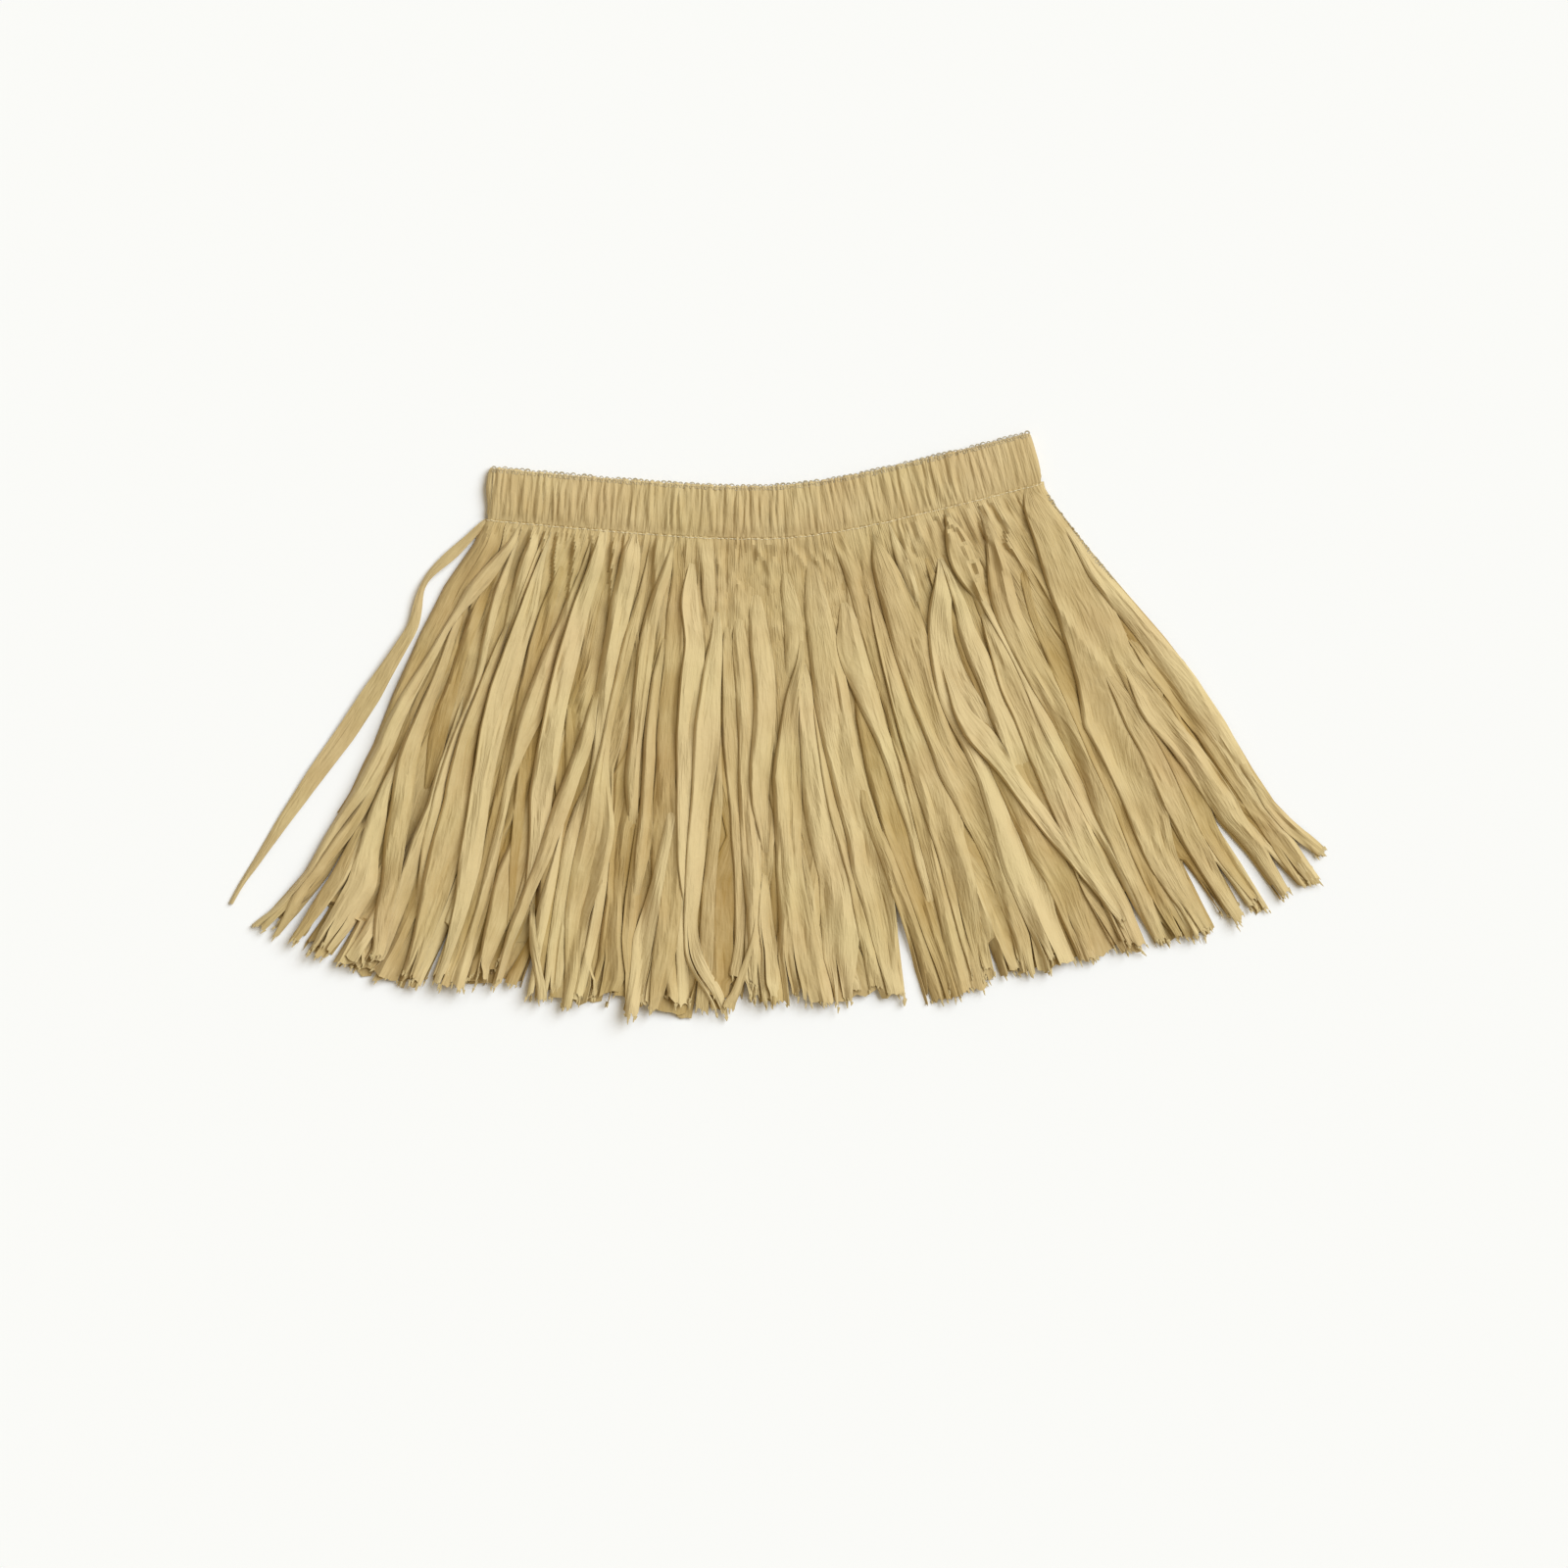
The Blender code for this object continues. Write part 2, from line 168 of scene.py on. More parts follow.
def add(tree, kind, inputs=(), **settings):
    """A new node of that kind. Inputs go by name or number: values, sockets to link from, or nodes, which stand for
    their first output."""
    node = tree.nodes.new(kind)
    for name, value in settings.items():
        setattr(node, name, value)
    for name, value in dict(inputs).items():
        if isinstance(value, bpy.types.Node):
            value = value.outputs[0]
        if isinstance(value, bpy.types.NodeSocket):
            tree.links.new(value, node.inputs[name])
        else:
            node.inputs[name].default_value = value
    return node


def new_material(name, roughness, sheen=0.0):
    """A material with one Principled shader, and that shader, for colour and bump to be linked to."""
    material = bpy.data.materials.new(name)
    material.use_nodes = True
    tree = material.node_tree
    tree.nodes.clear()
    shader = add(tree, "ShaderNodeBsdfPrincipled", {"Roughness": roughness, "Sheen Weight": sheen})
    shader.inputs["Specular IOR Level"].default_value = 0.25
    add(tree, "ShaderNodeOutputMaterial", {0: shader})
    return material, tree, shader


print("straw:", [round(v, 3) for v in linear("D6BE8E")[:3]])

# %% [markdown]
# ## The cloth's finish
#
# Non-woven cloth has no weave: short fibres run every way, mostly along the cut, and crinkling has set fine creases
# across it. Each strip was dyed with the rest but looks a little lighter, greener or pinker than its neighbour, so
# every strip carries one number, its tone. The tone also holds painted shade: it is lowered deep in folds, on a
# strip's low edge and on strips that lie under others, and raised a little on crests. An image of crinkled cloth would
# do, but it would repeat, and its folds would not run along the strips. So the finish is worked out from the cloth's
# own coordinates, and the finest creases are a bump a few tenths of a millimetre high.

# %% Crinkled straw cloth
def straw_cloth(name, light, deep):
    """Crinkled non-woven cloth: matt, with a faint sheen where its fibres stand up at a grazing angle. Reads the UV
    map "cloth", in metres across and along, and the attribute "tone"."""
    material, tree, shader = new_material(name, roughness=0.7, sheen=0.15)
    cloth = add(tree, "ShaderNodeUVMap", uv_map="cloth")
    place = add(tree, "ShaderNodeTexCoord").outputs["Object"]
    tone = add(tree, "ShaderNodeAttribute", attribute_name="tone").outputs["Fac"]
    # fibres: 0.6 mm across, 14 mm long
    along = add(tree, "ShaderNodeMapping", {"Vector": cloth, "Scale": (1650, 70, 1)})
    fibres = add(tree, "ShaderNodeTexNoise", {"Vector": along, "Scale": 1.0, "Detail": 3.0}).outputs["Fac"]
    # blotches of dye: 30 mm
    dye = add(tree, "ShaderNodeTexNoise", {"Vector": place, "Scale": 33.0, "Detail": 2.0}).outputs["Fac"]
    mixed = add(tree, "ShaderNodeMath", {0: fibres, 1: 0.35}, operation="MULTIPLY")
    mixed = add(tree, "ShaderNodeMath", {0: dye, 1: 0.35, 2: mixed}, operation="MULTIPLY_ADD")
    mixed = add(tree, "ShaderNodeMath", {0: tone, 1: 0.55, 2: mixed}, operation="MULTIPLY_ADD")
    ramp = add(tree, "ShaderNodeValToRGB", {"Fac": mixed})
    ramp.color_ramp.elements[0].position = 0.25
    ramp.color_ramp.elements[0].color = linear(deep)
    ramp.color_ramp.elements[1].position = 0.85
    ramp.color_ramp.elements[1].color = linear(light)
    # a hint of green or pink that changes every 60 mm
    tint = add(tree, "ShaderNodeTexNoise", {"Vector": place, "Scale": 16.0, "Detail": 1.0}).outputs["Fac"]
    hue = add(tree, "ShaderNodeMapRange", {"Value": tint, 3: 0.492, 4: 0.508})
    colour = add(tree, "ShaderNodeHueSaturation", {"Hue": hue, "Color": ramp.outputs[0]}).outputs[0]
    tree.links.new(colour, shader.inputs["Base Color"])
    # crinkles: 2 mm wide and 6 mm long, and the fibres' own grain
    crease = add(tree, "ShaderNodeMapping", {"Vector": cloth, "Scale": (420, 150, 1)})
    crinkle = add(tree, "ShaderNodeTexNoise", {"Vector": crease, "Scale": 1.0, "Detail": 4.0,
                                               "Distortion": 0.6}).outputs["Fac"]
    relief = add(tree, "ShaderNodeMath", {0: fibres, 1: 0.15, 2: crinkle}, operation="MULTIPLY_ADD")
    # long pressed lines: 3 mm apart and 40 mm long, sharp at the bottom
    pleat = add(tree, "ShaderNodeMapping", {"Vector": cloth, "Scale": (300, 26, 1)})
    pleat = add(tree, "ShaderNodeTexNoise", {"Vector": pleat, "Scale": 1.0, "Detail": 2.0,
                                             "Distortion": 0.3}).outputs["Fac"]
    pleat = add(tree, "ShaderNodeMath", {0: pleat, 1: 0.5}, operation="SUBTRACT")
    pleat = add(tree, "ShaderNodeMath", {0: pleat}, operation="ABSOLUTE")
    relief = add(tree, "ShaderNodeMath", {0: pleat, 1: 4.0, 2: relief}, operation="MULTIPLY_ADD")
    bump = add(tree, "ShaderNodeBump", {"Height": relief, "Strength": 0.8, "Distance": 0.0006}).outputs[0]
    tree.links.new(bump, shader.inputs["Normal"])
    return material


skirt_cloth = straw_cloth("crinkled straw non-woven cloth", "D2BB87", "A48443")
band_cloth = straw_cloth("crinkled straw non-woven cloth, band", "D5BF8D", "AA894A")
print("finishes:", skirt_cloth.name, "|", band_cloth.name)

# %% [markdown]
# ## Chance that looks like cloth
#
# Cloth is uneven at every size, but smoothly so. `patches` is a soft random field over the skirt, `kinked` is a line
# that changes its course at pressed creases, and `uneven_steps` cuts a length into uneven parts, as gathers and strips
# are. Each takes a seed of its own, so the skirt comes out the same every time.

# %% Soft random fields
# Both numbers are prime, so the field repeats late.
GRID_ROWS, GRID_COLUMNS = 97, 613


def patches(u, w, size_u, size_w, seed):
    """A soft random number from -1 to 1 for each place, in patches of that size."""
    grid = np.random.default_rng(seed).uniform(-1, 1, (GRID_ROWS, GRID_COLUMNS))
    a = (np.asarray(u, float) + 1.3) / size_u
    b = (np.asarray(w, float) + 0.1) / size_w
    a, b = np.broadcast_arrays(a, b)
    i = np.floor(a).astype(int)
    j = np.floor(b).astype(int)
    s = ease(a - i)
    t = ease(b - j)
    i, i2, j, j2 = i % GRID_COLUMNS, (i + 1) % GRID_COLUMNS, j % GRID_ROWS, (j + 1) % GRID_ROWS
    top = grid[j, i] * (1 - s) + grid[j, i2] * s
    low = grid[j2, i] * (1 - s) + grid[j2, i2] * s
    return top * (1 - t) + low * t


def kinked(w, step, seed):
    """A random number from -1 to 1 along w that changes in straight lines, with a kink about every step."""
    chance = np.random.default_rng(seed)
    kinks = 16
    knots = np.cumsum(chance.uniform(0.5, 1.5, kinks)) * step - step
    return np.interp(w, knots, chance.uniform(-1, 1, kinks))


def uneven_steps(count, unevenness, seed):
    """Places from 0 to 1 that cut a length into that many uneven parts."""
    parts = np.random.default_rng(seed).uniform(1 - unevenness, 1 + unevenness, count)
    return np.concatenate([[0], np.cumsum(parts)]) / parts.sum()


print("a cut in five:", uneven_steps(5, 0.5, 1).round(2))

# %% [markdown]
# ## The pile
#
# The height map has a row for every 3 mm of drop. A strip that is laid on it is stiff: it bridges the hollows under
# it, so its height is found by spreading each bump sideways with a slope, and the result is smoothed. The strip's own
# profile is added, and the map is raised to the strip, so that the next strip finds it there. Cloth simulation does
# the same with springs, but it would take minutes and lay each strip somewhere else.

# %% The height map
# A row for every 3 mm of drop, a column for every 0.002 of u, and the cloth's thickness, in metres.
ROW = 0.003
DROPS = np.arange(129) * ROW
PLACES = np.linspace(-1.08, 1.08, 1081)
TABLE = 0.0004
THICK = 0.0004
pile = np.full((len(DROPS), len(PLACES)), TABLE)
print("height map:", pile.shape, "over", round(DROPS[-1] * 1000), "mm of drop")

# %% Laying a strip on the pile
# How steeply a bump under the strip dies out across and along it, and the gap left between two layers.
STEEP_ACROSS = 0.8
STEEP_ALONG = 0.14
CLEAR = 0.0003
SOFT = np.exp(-0.5 * (np.arange(-5, 6) / 2.0) ** 2)
SOFT = SOFT / SOFT.sum()


def soften(rows):
    """Smooths along the strip."""
    padded = np.pad(rows, ((5, 5), (0, 0)), mode="edge")
    return sum(k * padded[i:i + len(rows)] for i, k in enumerate(SOFT))


def pile_under(first, left, right, t):
    """The pile's height under each point of a strip. t says where its columns are, from 0 to 1 across it."""
    return np.array([
        np.interp(left[i] + (right[i] - left[i]) * t, PLACES, pile[first + i]) for i in range(len(left))])


def lay_down(first, left, right, t, arch, shape):
    """The heights of a strip from drop row `first` on. shape is its profile across, 0 to 1, for each column."""
    below = pile_under(first, left, right, t)
    width = (right - left) * spread(DROPS[first:first + len(left)])
    place = width[:, None] * t
    bridged = (below[:, None, :] - STEEP_ACROSS * abs(place[:, :, None] - place[:, None, :])).max(2)
    drop = ROW * np.arange(len(left))
    bridged = (bridged[None] - STEEP_ALONG * abs(drop[:, None, None] - drop[None, :, None])).max(1)
    bridged = np.maximum(soften(bridged), below)
    return bridged + CLEAR + np.minimum(arch, 0.5 * width)[:, None] * shape


def press_in(first, left, right, t, z):
    """Raises the pile to a strip that was laid on it."""
    for i in range(len(left)):
        on = (PLACES >= left[i]) & (PLACES <= right[i])
        top = np.interp(PLACES[on], left[i] + (right[i] - left[i]) * t, z[i]) + THICK / 2
        pile[first + i, on] = np.maximum(pile[first + i, on], top)


print("smoothing along a strip over", round(1000 * ROW * (len(SOFT) // 2)), "mm each way")

# %% [markdown]
# ## A strip's own profile
#
# A strip of crinkled cloth is neither flat nor round. Its left edge stands up in a short rounded wall, because each
# lock leans on the one before it. From that crest it falls in long flat facets, with pressed creases between them, to
# its right edge, which lies on the next strip. A smooth arch would look like a tube, so the profile is a table of
# bends, a little different for every strip, and it changes slowly down the strip from one form to a second one.

# %% The profile
# A wall is 1.1 to 4 mm wide. Its crest is rounded over a third of it more.
NARROWEST_WALL = 0.0011
WALLS_RANGE = 3.6
WALL_PLACES = (0, 0.35, 0.7, 1, 1.35)
WALL_HEIGHTS = (0.06, 0.5, 0.8, 0.95, 1)
FALL_HEIGHTS = (1, 0.92, 0.72, 0.46, 0.3)
ROUGH_FACETS = 0.09


def liveliness(u):
    """How high the cloth stands: the right side was smoothed flat when the skirt was laid down."""
    return np.interp(u, (-0.5, -0.25, 0.1, 0.5, 0.72), (1.2, 0.82, 0.6, 0.55, 0.4))


def columns_and_facets(count, rows, width, seed, lean=1):
    """Columns for a strip, with a steep wall up to its crest, then facets that fall to its far edge. Each column
    stays a crease for the strip's whole length, and the facets change slowly from one form to another."""
    chance = np.random.default_rng(seed)
    wall = float(np.clip(NARROWEST_WALL * WALLS_RANGE ** chance.random() / width, 0.05, 0.28))
    crest = WALL_PLACES[-1] * wall
    t = np.concatenate([wall * np.array(WALL_PLACES[:-1]), crest + (1 - crest) * uneven_steps(count, 0.45, seed)])
    forms = []
    for _ in range(2):
        flat = np.clip(1 - 0.007 / width, 0.3, 0.72) + chance.uniform(-0.06, 0.06)
        bends = [0, flat, flat + 0.4 * (1 - flat), flat + 0.75 * (1 - flat), 1]
        fall = np.interp((t - crest) / (1 - crest), bends, FALL_HEIGHTS)
        rough = ROUGH_FACETS * min(1, 0.010 / width)
        fall = fall + rough * chance.uniform(-1, 1, len(t)) * (t > crest + 0.01) * (t < 0.99)
        up = np.interp(t / wall, WALL_PLACES, WALL_HEIGHTS)
        forms.append(np.where(t < crest - 0.001, up, fall))
    turn = 0.5 + 0.5 * kinked(ROW * np.arange(rows), 0.07, seed + 7)[:, None]
    shape = forms[0] * (1 - turn) + forms[1] * turn
    return (t, shape) if lean > 0 else (1 - t[::-1], shape[:, ::-1])


print("a 12 mm strip's columns:", columns_and_facets(4, 2, 0.012, 1)[0].round(2))

# %% [markdown]
# ## Settling
#
# Strips laid one on another would pile up far too high where many cross, because each is carried by the one below.
# Real cloth sinks and is pressed flat. So at the end the whole pile is lowered where it is high over a wide area, and
# narrow peaks are squeezed. How deep a point then lies below the pile's mean surface is kept for painted shade: folds
# are painted darker inside, and crests a little lighter.

# %% Letting the pile settle
# The pile's even height, the height it may have at its peaks, and how much tone a fold 4 mm deep loses to painted
# shade.
LEVEL = 0.0062
HIGHEST = 0.0125
PAINTED_SHADE_BY_DEPTH = 0.23
DEEP_FOLD = 0.004


def settle(u, w, z):
    """The pile sinks under its own weight: high places come down whole, what lies under them is pressed flat, and
    where strips are crossed many deep they are squeezed until the pile is no higher than HIGHEST. Returns the new
    heights, and how deep each point lay under the pile's mean surface."""
    def blurred(found, rows, across):
        for size in (rows, across):
            k = np.exp(-0.5 * (np.arange(-3 * size, 3 * size + 1) / size) ** 2)
            padded = np.pad(found, ((3 * size, 3 * size), (0, 0)), mode="edge")
            found = sum(c * padded[i:i + len(found)] for i, c in enumerate(k / k.sum())).T
        return found

    i = np.clip(w / ROW, 0, len(DROPS) - 1.001)
    j = np.clip((u - PLACES[0]) / (PLACES[1] - PLACES[0]), 0, len(PLACES) - 1.001)
    a, b = i.astype(int), j.astype(int)
    s, t = i - a, j - b

    def at(grid):
        return (grid[a, b] * (1 - s) * (1 - t) + grid[a + 1, b] * s * (1 - t)
                + grid[a, b + 1] * (1 - s) * t + grid[a + 1, b + 1] * s * t)

    peaks = np.max([np.roll(pile, (r, c), (0, 1)) for r in range(-4, 5, 2) for c in range(-6, 7, 2)], 0)
    high, crest = at(blurred(pile, 5, 22)), at(blurred(peaks, 2, 3))
    sink = 0.8 * np.maximum(high - LEVEL, 0) * ease(w / 0.02)
    rest = TABLE + 0.0002
    settled = np.maximum(z - sink * ease((z - rest) / (0.6 * high)), np.minimum(z, rest))
    squeeze = np.minimum(1, (HIGHEST - rest) / np.maximum(crest - sink - rest, 0.001))
    return np.where(settled > rest, rest + (settled - rest) * squeeze, settled), high - z


print("the pile may be", round(HIGHEST * 1000, 1), "mm high")

# %% [markdown]
# ## One strip as a mesh
#
# A strip is a ribbon of rows and columns. It is cut unevenly at its tip, and wide ones have torn up a little from the
# hem. A tear doubles the points along it, and where the tear hasn't reached, the two rows of points lie together and
# are merged at the end. Every point gets its cloth coordinates for the grain. Edges where the cloth bends by more than
# 24 degrees are marked sharp, which keeps a pressed crease crisp. A live Solidify gives the sheet its thickness. Hair
# or a particle system would also draw strips, but neither has a width that folds.

# %% What a sheet carries
def carry(mesh, grain, **numbers):
    """Writes the UV map "cloth", and one number for each point under each name."""
    corner = np.empty(len(mesh.loops), dtype=np.int32)
    mesh.loops.foreach_get("vertex_index", corner)
    mesh.uv_layers.new(name="cloth").data.foreach_set("uv", np.array(grain, dtype=np.float32)[corner].ravel())
    for name, values in numbers.items():
        mesh.attributes.new(name, "FLOAT", "POINT").data.foreach_set("value", np.array(values, dtype=np.float32))


def thicken(thing):
    """Gives a sheet the cloth's thickness, down from the side that shows."""
    shell = thing.modifiers.new("cloth thickness", "SOLIDIFY")
    shell.thickness = THICK
    shell.offset = -1
    print(f"{thing.name}: {sum(p.area for p in thing.data.polygons):.4f} m2 of cloth")
    return thing


print("cloth", THICK * 1000, "mm thick")

# %% The ribbon
# The angle of a sharp crease, how far up a tip is ragged and by how much, how much painted shade darkens a strip's
# low edge column, the share of a tip's points that fray, and how near two points are that are merged.
SHARP = math.radians(24)
TIP = 0.020
RAGGED = 0.006
PAINTED_SHADE_AT_EDGE = 0.25
FRAYED_SHARE = 0.28
TORN_GAP = 2e-6


class Cloth:
    """Collects ribbons of one piece of cloth."""

    def __init__(self):
        self.points, self.faces, self.grain, self.tones, self.cloth_at = [], [], [], [], []
        self.tips, self.frays = [], []

    def ribbon(self, left, right, z, w, t, tone, end=None, tears=()):
        """Rows of points at the drops w, from left to right. end is the drop of the tip. A tear is a place across
        the strip, the drop where it ends and its width at the tip."""
        chance = np.random.default_rng(abs(int(1e5 * (left[0] + 3 * right[-1]) + 1e3 * len(w))) % 99991)
        offset = chance.uniform(0, 4, 2)
        # Painted shade: the edge column at t = 0, which lies low against the cloth under it, gets a lower tone.
        tone = np.broadcast_to(tone, z.shape) - PAINTED_SHADE_AT_EDGE * (t < 0.001)
        if end is not None:
            w = w[0] + (w - w[0]) * (end - w[0]) / (w[-1] - w[0])
        tip = ease((w - (w[-1] - TIP)) / TIP) if end is not None else np.zeros(len(w))
        edges = [0] + [max(1, int(round(a * (len(t) - 1)))) for a, _, _ in tears] + [len(t) - 1]
        opened = [(1, 0)] + [(top, gap) for _, top, gap in tears] + [(1, 0)]
        for k in range(len(edges) - 1):
            if edges[k + 1] <= edges[k]:
                continue
            part = t[edges[k]:edges[k + 1] + 1]
            inner = (part - part.min()) / (part.max() - part.min())
            pull = np.zeros((len(w), 2))
            for side in (0, 1):
                top, gap = opened[k + side]
                pull[:, side] = gap * np.clip((w - top) / max(w[-1] - top, 0.01), 0, 1) ** 1.3
            u = left[:, None] + (right - left)[:, None] * part
            u = u + (pull[:, :1] * (1 - inner) - pull[:, 1:] * inner) / spread(w)[:, None] / 2
            cut = RAGGED * (chance.uniform(-1.1, 0.7) + chance.uniform(-0.8, 0.8) * (inner - 0.5))
            cut = cut + RAGGED * 0.35 * chance.uniform(-1, 1, len(part))
            drop = w[:, None] + tip[:, None] * cut
            x, y = lay(u, drop)
            curl = chance.uniform(-0.0002, 0.0012) * tip
            height = z[:, edges[k]:edges[k + 1] + 1] + (curl - 0.5 * pull.max(1) * (k % 2))[:, None]
            height = np.maximum(height, TABLE + 0.0002)
            start = len(self.points)
            wide = np.median((right - left) * spread(w))
            for i in range(len(w)):
                for j in range(len(part)):
                    self.points.append((float(x[i, j]), float(y[i, j]), float(height[i, j])))
                    self.cloth_at.append((float(u[i, j]), float(drop[i, j])))
                    self.grain.append((float(offset[0] + wide * part[j]), float(offset[1] + w[i])))
                    self.tones.append(float(tone[i, edges[k] + j]))
            n = len(part)
            if end is not None:
                last = start + (len(w) - 1) * n
                self.tips += [(last + j, last - n + j) for j in range(n) if chance.random() < FRAYED_SHARE]
            for i in range(len(w) - 1):
                for j in range(n - 1):
                    a = start + i * n + j
                    self.faces.append((a, a + n, a + n + 1, a + 1))

    def piece(self, name, material):
        """The finished object: torn edges merged where they still hold, and the cloth given its thickness."""
        mesh = bpy.data.meshes.new(name)
        points = np.array(self.points)
        if self.cloth_at:
            at = np.array(self.cloth_at)
            points[:, 2], depth = settle(at[:, 0], at[:, 1], points[:, 2])
            # Painted shade: points deep in folds get a lower tone, points on crests a slightly higher one.
            self.tones = np.array(self.tones) - PAINTED_SHADE_BY_DEPTH * np.clip(depth / DEEP_FOLD, -0.35, 1)
        self.frays = [(points[a], math.atan2(*(points[a] - points[b])[1::-1])) for a, b in self.tips]
        mesh.from_pydata(points.tolist(), [], self.faces)
        carry(mesh, self.grain, tone=self.tones)
        shape = bmesh.new()
        shape.from_mesh(mesh)
        bmesh.ops.remove_doubles(shape, verts=shape.verts, dist=TORN_GAP)
        for face in shape.faces:
            face.smooth = True
        for edge in shape.edges:
            edge.smooth = len(edge.link_faces) == 2 and edge.calc_face_angle(0) < SHARP
        shape.to_mesh(mesh)
        shape.free()
        mesh.materials.append(material)
        return thicken(put(name, mesh))


print("a ribbon has", round(HEM_DROP / ROW), "rows at full length")

# %% [markdown]
# ## Partings in the hem
#
# The hem isn't closed all round: at fifteen places two neighbouring strips stand apart, and the table shows between
# them. The strips are made first as if the hem were closed, and one function then moves their edges aside, so every
# layer parts at the same place.

# %% Partings
# In u, how narrow a strip may get.
NARROWEST = 0.004
# Columns: u, width at the hem, drop at which the parting starts, and how far in u the strips beside it give way.
PARTINGS = (
    (-0.942, 0.010, 0.262, 0.03), (-0.905, 0.004, 0.322, 0.02), (-0.838, 0.004, 0.328, 0.02),
    (-0.657, 0.004, 0.318, 0.02), (-0.483, 0.006, 0.322, 0.03), (-0.080, 0.006, 0.338, 0.03),
    (-0.002, 0.008, 0.320, 0.03), (0.213, 0.014, 0.272, 0.05), (0.362, 0.004, 0.330, 0.02),
    (0.637, 0.007, 0.322, 0.03), (0.767, 0.011, 0.315, 0.03), (0.822, 0.006, 0.325, 0.02),
    (0.872, 0.013, 0.288, 0.03), (0.915, 0.009, 0.330, 0.02), (0.977, 0.008, 0.325, 0.02))


def stand_aside(left, right, w):
    """Moves a strip's two edges out of the places where the hem is parted."""
    left, right = left.copy(), right.copy()
    for middle, width, top, reach in PARTINGS:
        share = np.clip((w - top) / (float(hem(middle)) - top), 0, 1.1) ** 0.8
        centre = (left + right) / 2
        half = 0.5 * width / spread(w) * share
        push = 0.7 * half * np.exp(-abs(centre - middle) / reach)
        if centre[-1] < middle:
            right = np.where(share > 0, np.minimum(right - push, middle - half), right)
            left = np.where(share > 0, np.minimum(left - push, right - NARROWEST), left)
        else:
            left = np.where(share > 0, np.maximum(left + push, middle + half), left)
            right = np.where(share > 0, np.maximum(right + push, left + NARROWEST), right)
    return left, right


print(len(PARTINGS), "partings, the widest", 1000 * max(row[1] for row in PARTINGS), "mm")

# %% [markdown]
# ## The uncut head
#
# Under the seam the cloth is whole. Each gather of the band opens into a small fold, dies out after two centimetres,
# and a few join into wider folds that lean towards the middle, because the skirt was laid down from its sides. One
# function gives the height of that surface, and the strips start on it, so no border shows above the slits. The folds
# could be sculpted by hand, but there are ninety gathers, so a rule makes them, and only their unevenness is drawn.

# %% Folds
def side_roll(u, z, low, reach):
    """Rolls a height down to low at the sides, where the tube of cloth folds round to the back."""
    inside = np.clip((1 - abs(np.asarray(u, float))) * WAIST_WIDTH / 2 / reach, 0, 1)
    return low + (z - low) * np.sqrt(np.maximum(1 - (1 - inside) ** 2, 0))


def folds(at, steps, sharp, seed):
    """Folds between uneven steps, 0 to 1 high: steep on the left side, slow on the right."""
    phase = np.interp(at, steps * 2 - 1, np.arange(len(steps)))
    which = np.floor(phase).astype(int) % len(steps)
    share = np.random.default_rng(seed).uniform(0.35, 1, len(steps))[which]
    t = phase - np.floor(phase)
    fall = np.interp(np.clip((1 - t) / (1 - sharp), 0, 1), [0, 0.15, 0.45, 0.75, 1], [0, 0.1, 0.62, 0.93, 1])
    return share * np.where(t < sharp, ease(t / sharp), fall)


# The front's gathers, the wider folds that they join into, and the puffs at the right.
GATHERS = uneven_steps(90, 0.5, 11)
WIDE_FOLDS = uneven_steps(27, 0.5, 12)
PUFFS = uneven_steps(40, 0.6, 17)
# Heights in metres: of the seam, of how far the head falls below it, and of each kind of fold.
SEAM_HIGH = 0.0052
HEAD_FALLS = 0.0034
GATHER_HIGH, WIDE_FOLD_HIGH, PUFF_HIGH, CRUMPLE_HIGH = 0.0022, 0.0048, 0.0034, 0.0009


def seam_height(u):
    """The front's height along the seam, where the gathers are held."""
    z = SEAM_HIGH - 0.0008 + 0.0011 * folds(u, GATHERS, 0.4, 13)
    return side_roll(u, z, 0.0016, 0.004)


print("seam", round(float(seam_height(0.1)) * 1000, 1), "mm high")

# %% The two heads
def smooth_middle(u):
    """1 in the middle of the front, where the cloth lies almost unfolded for ten centimetres, and 0 beside it."""
    return np.exp(-((u - 0.03) / 0.27) ** 4)


def puffs(u, w):
    """The short steep folds that the band's gathers push up in the cloth under its right half."""
    here = np.exp(-((u - 0.68) / 0.24) ** 4) * ease(w / 0.005) * (1 - ease((w - 0.045) / 0.045))
    return PUFF_HIGH * here * folds(u + 0.5 * w + 0.03 * patches(u, w, 0.035, 0.014, 28), PUFFS, 0.3, 18)


def crumples(u, w):
    """What crinkling left in the head: soft dents, a tight patch under the band's right half, and crossing creases."""
    calm = smooth_middle(u)
    dents = patches(u, w, 0.035, 0.011, 22) + 0.6 * patches(u + 0.8 * w, w, 0.016, 0.02, 23)
    tight = np.exp(-((u - 0.66) / 0.16) ** 2) * ease(w / 0.006) * (1 - ease((w - 0.025) / 0.03))
    dents = dents * (1 + 0.5 * calm) + 2.2 * tight * patches(u + 1.5 * w, w, 0.022, 0.012, 25)
    creases = abs(patches(u + 2.6 * w, w, 0.05, 0.016, 26)) + abs(patches(u - 2.2 * w, w, 0.04, 0.02, 27))
    return dents + (0.5 + 1.4 * calm) * (0.8 - 2 * creases) * (1 - ease((w - 0.05) / 0.07))


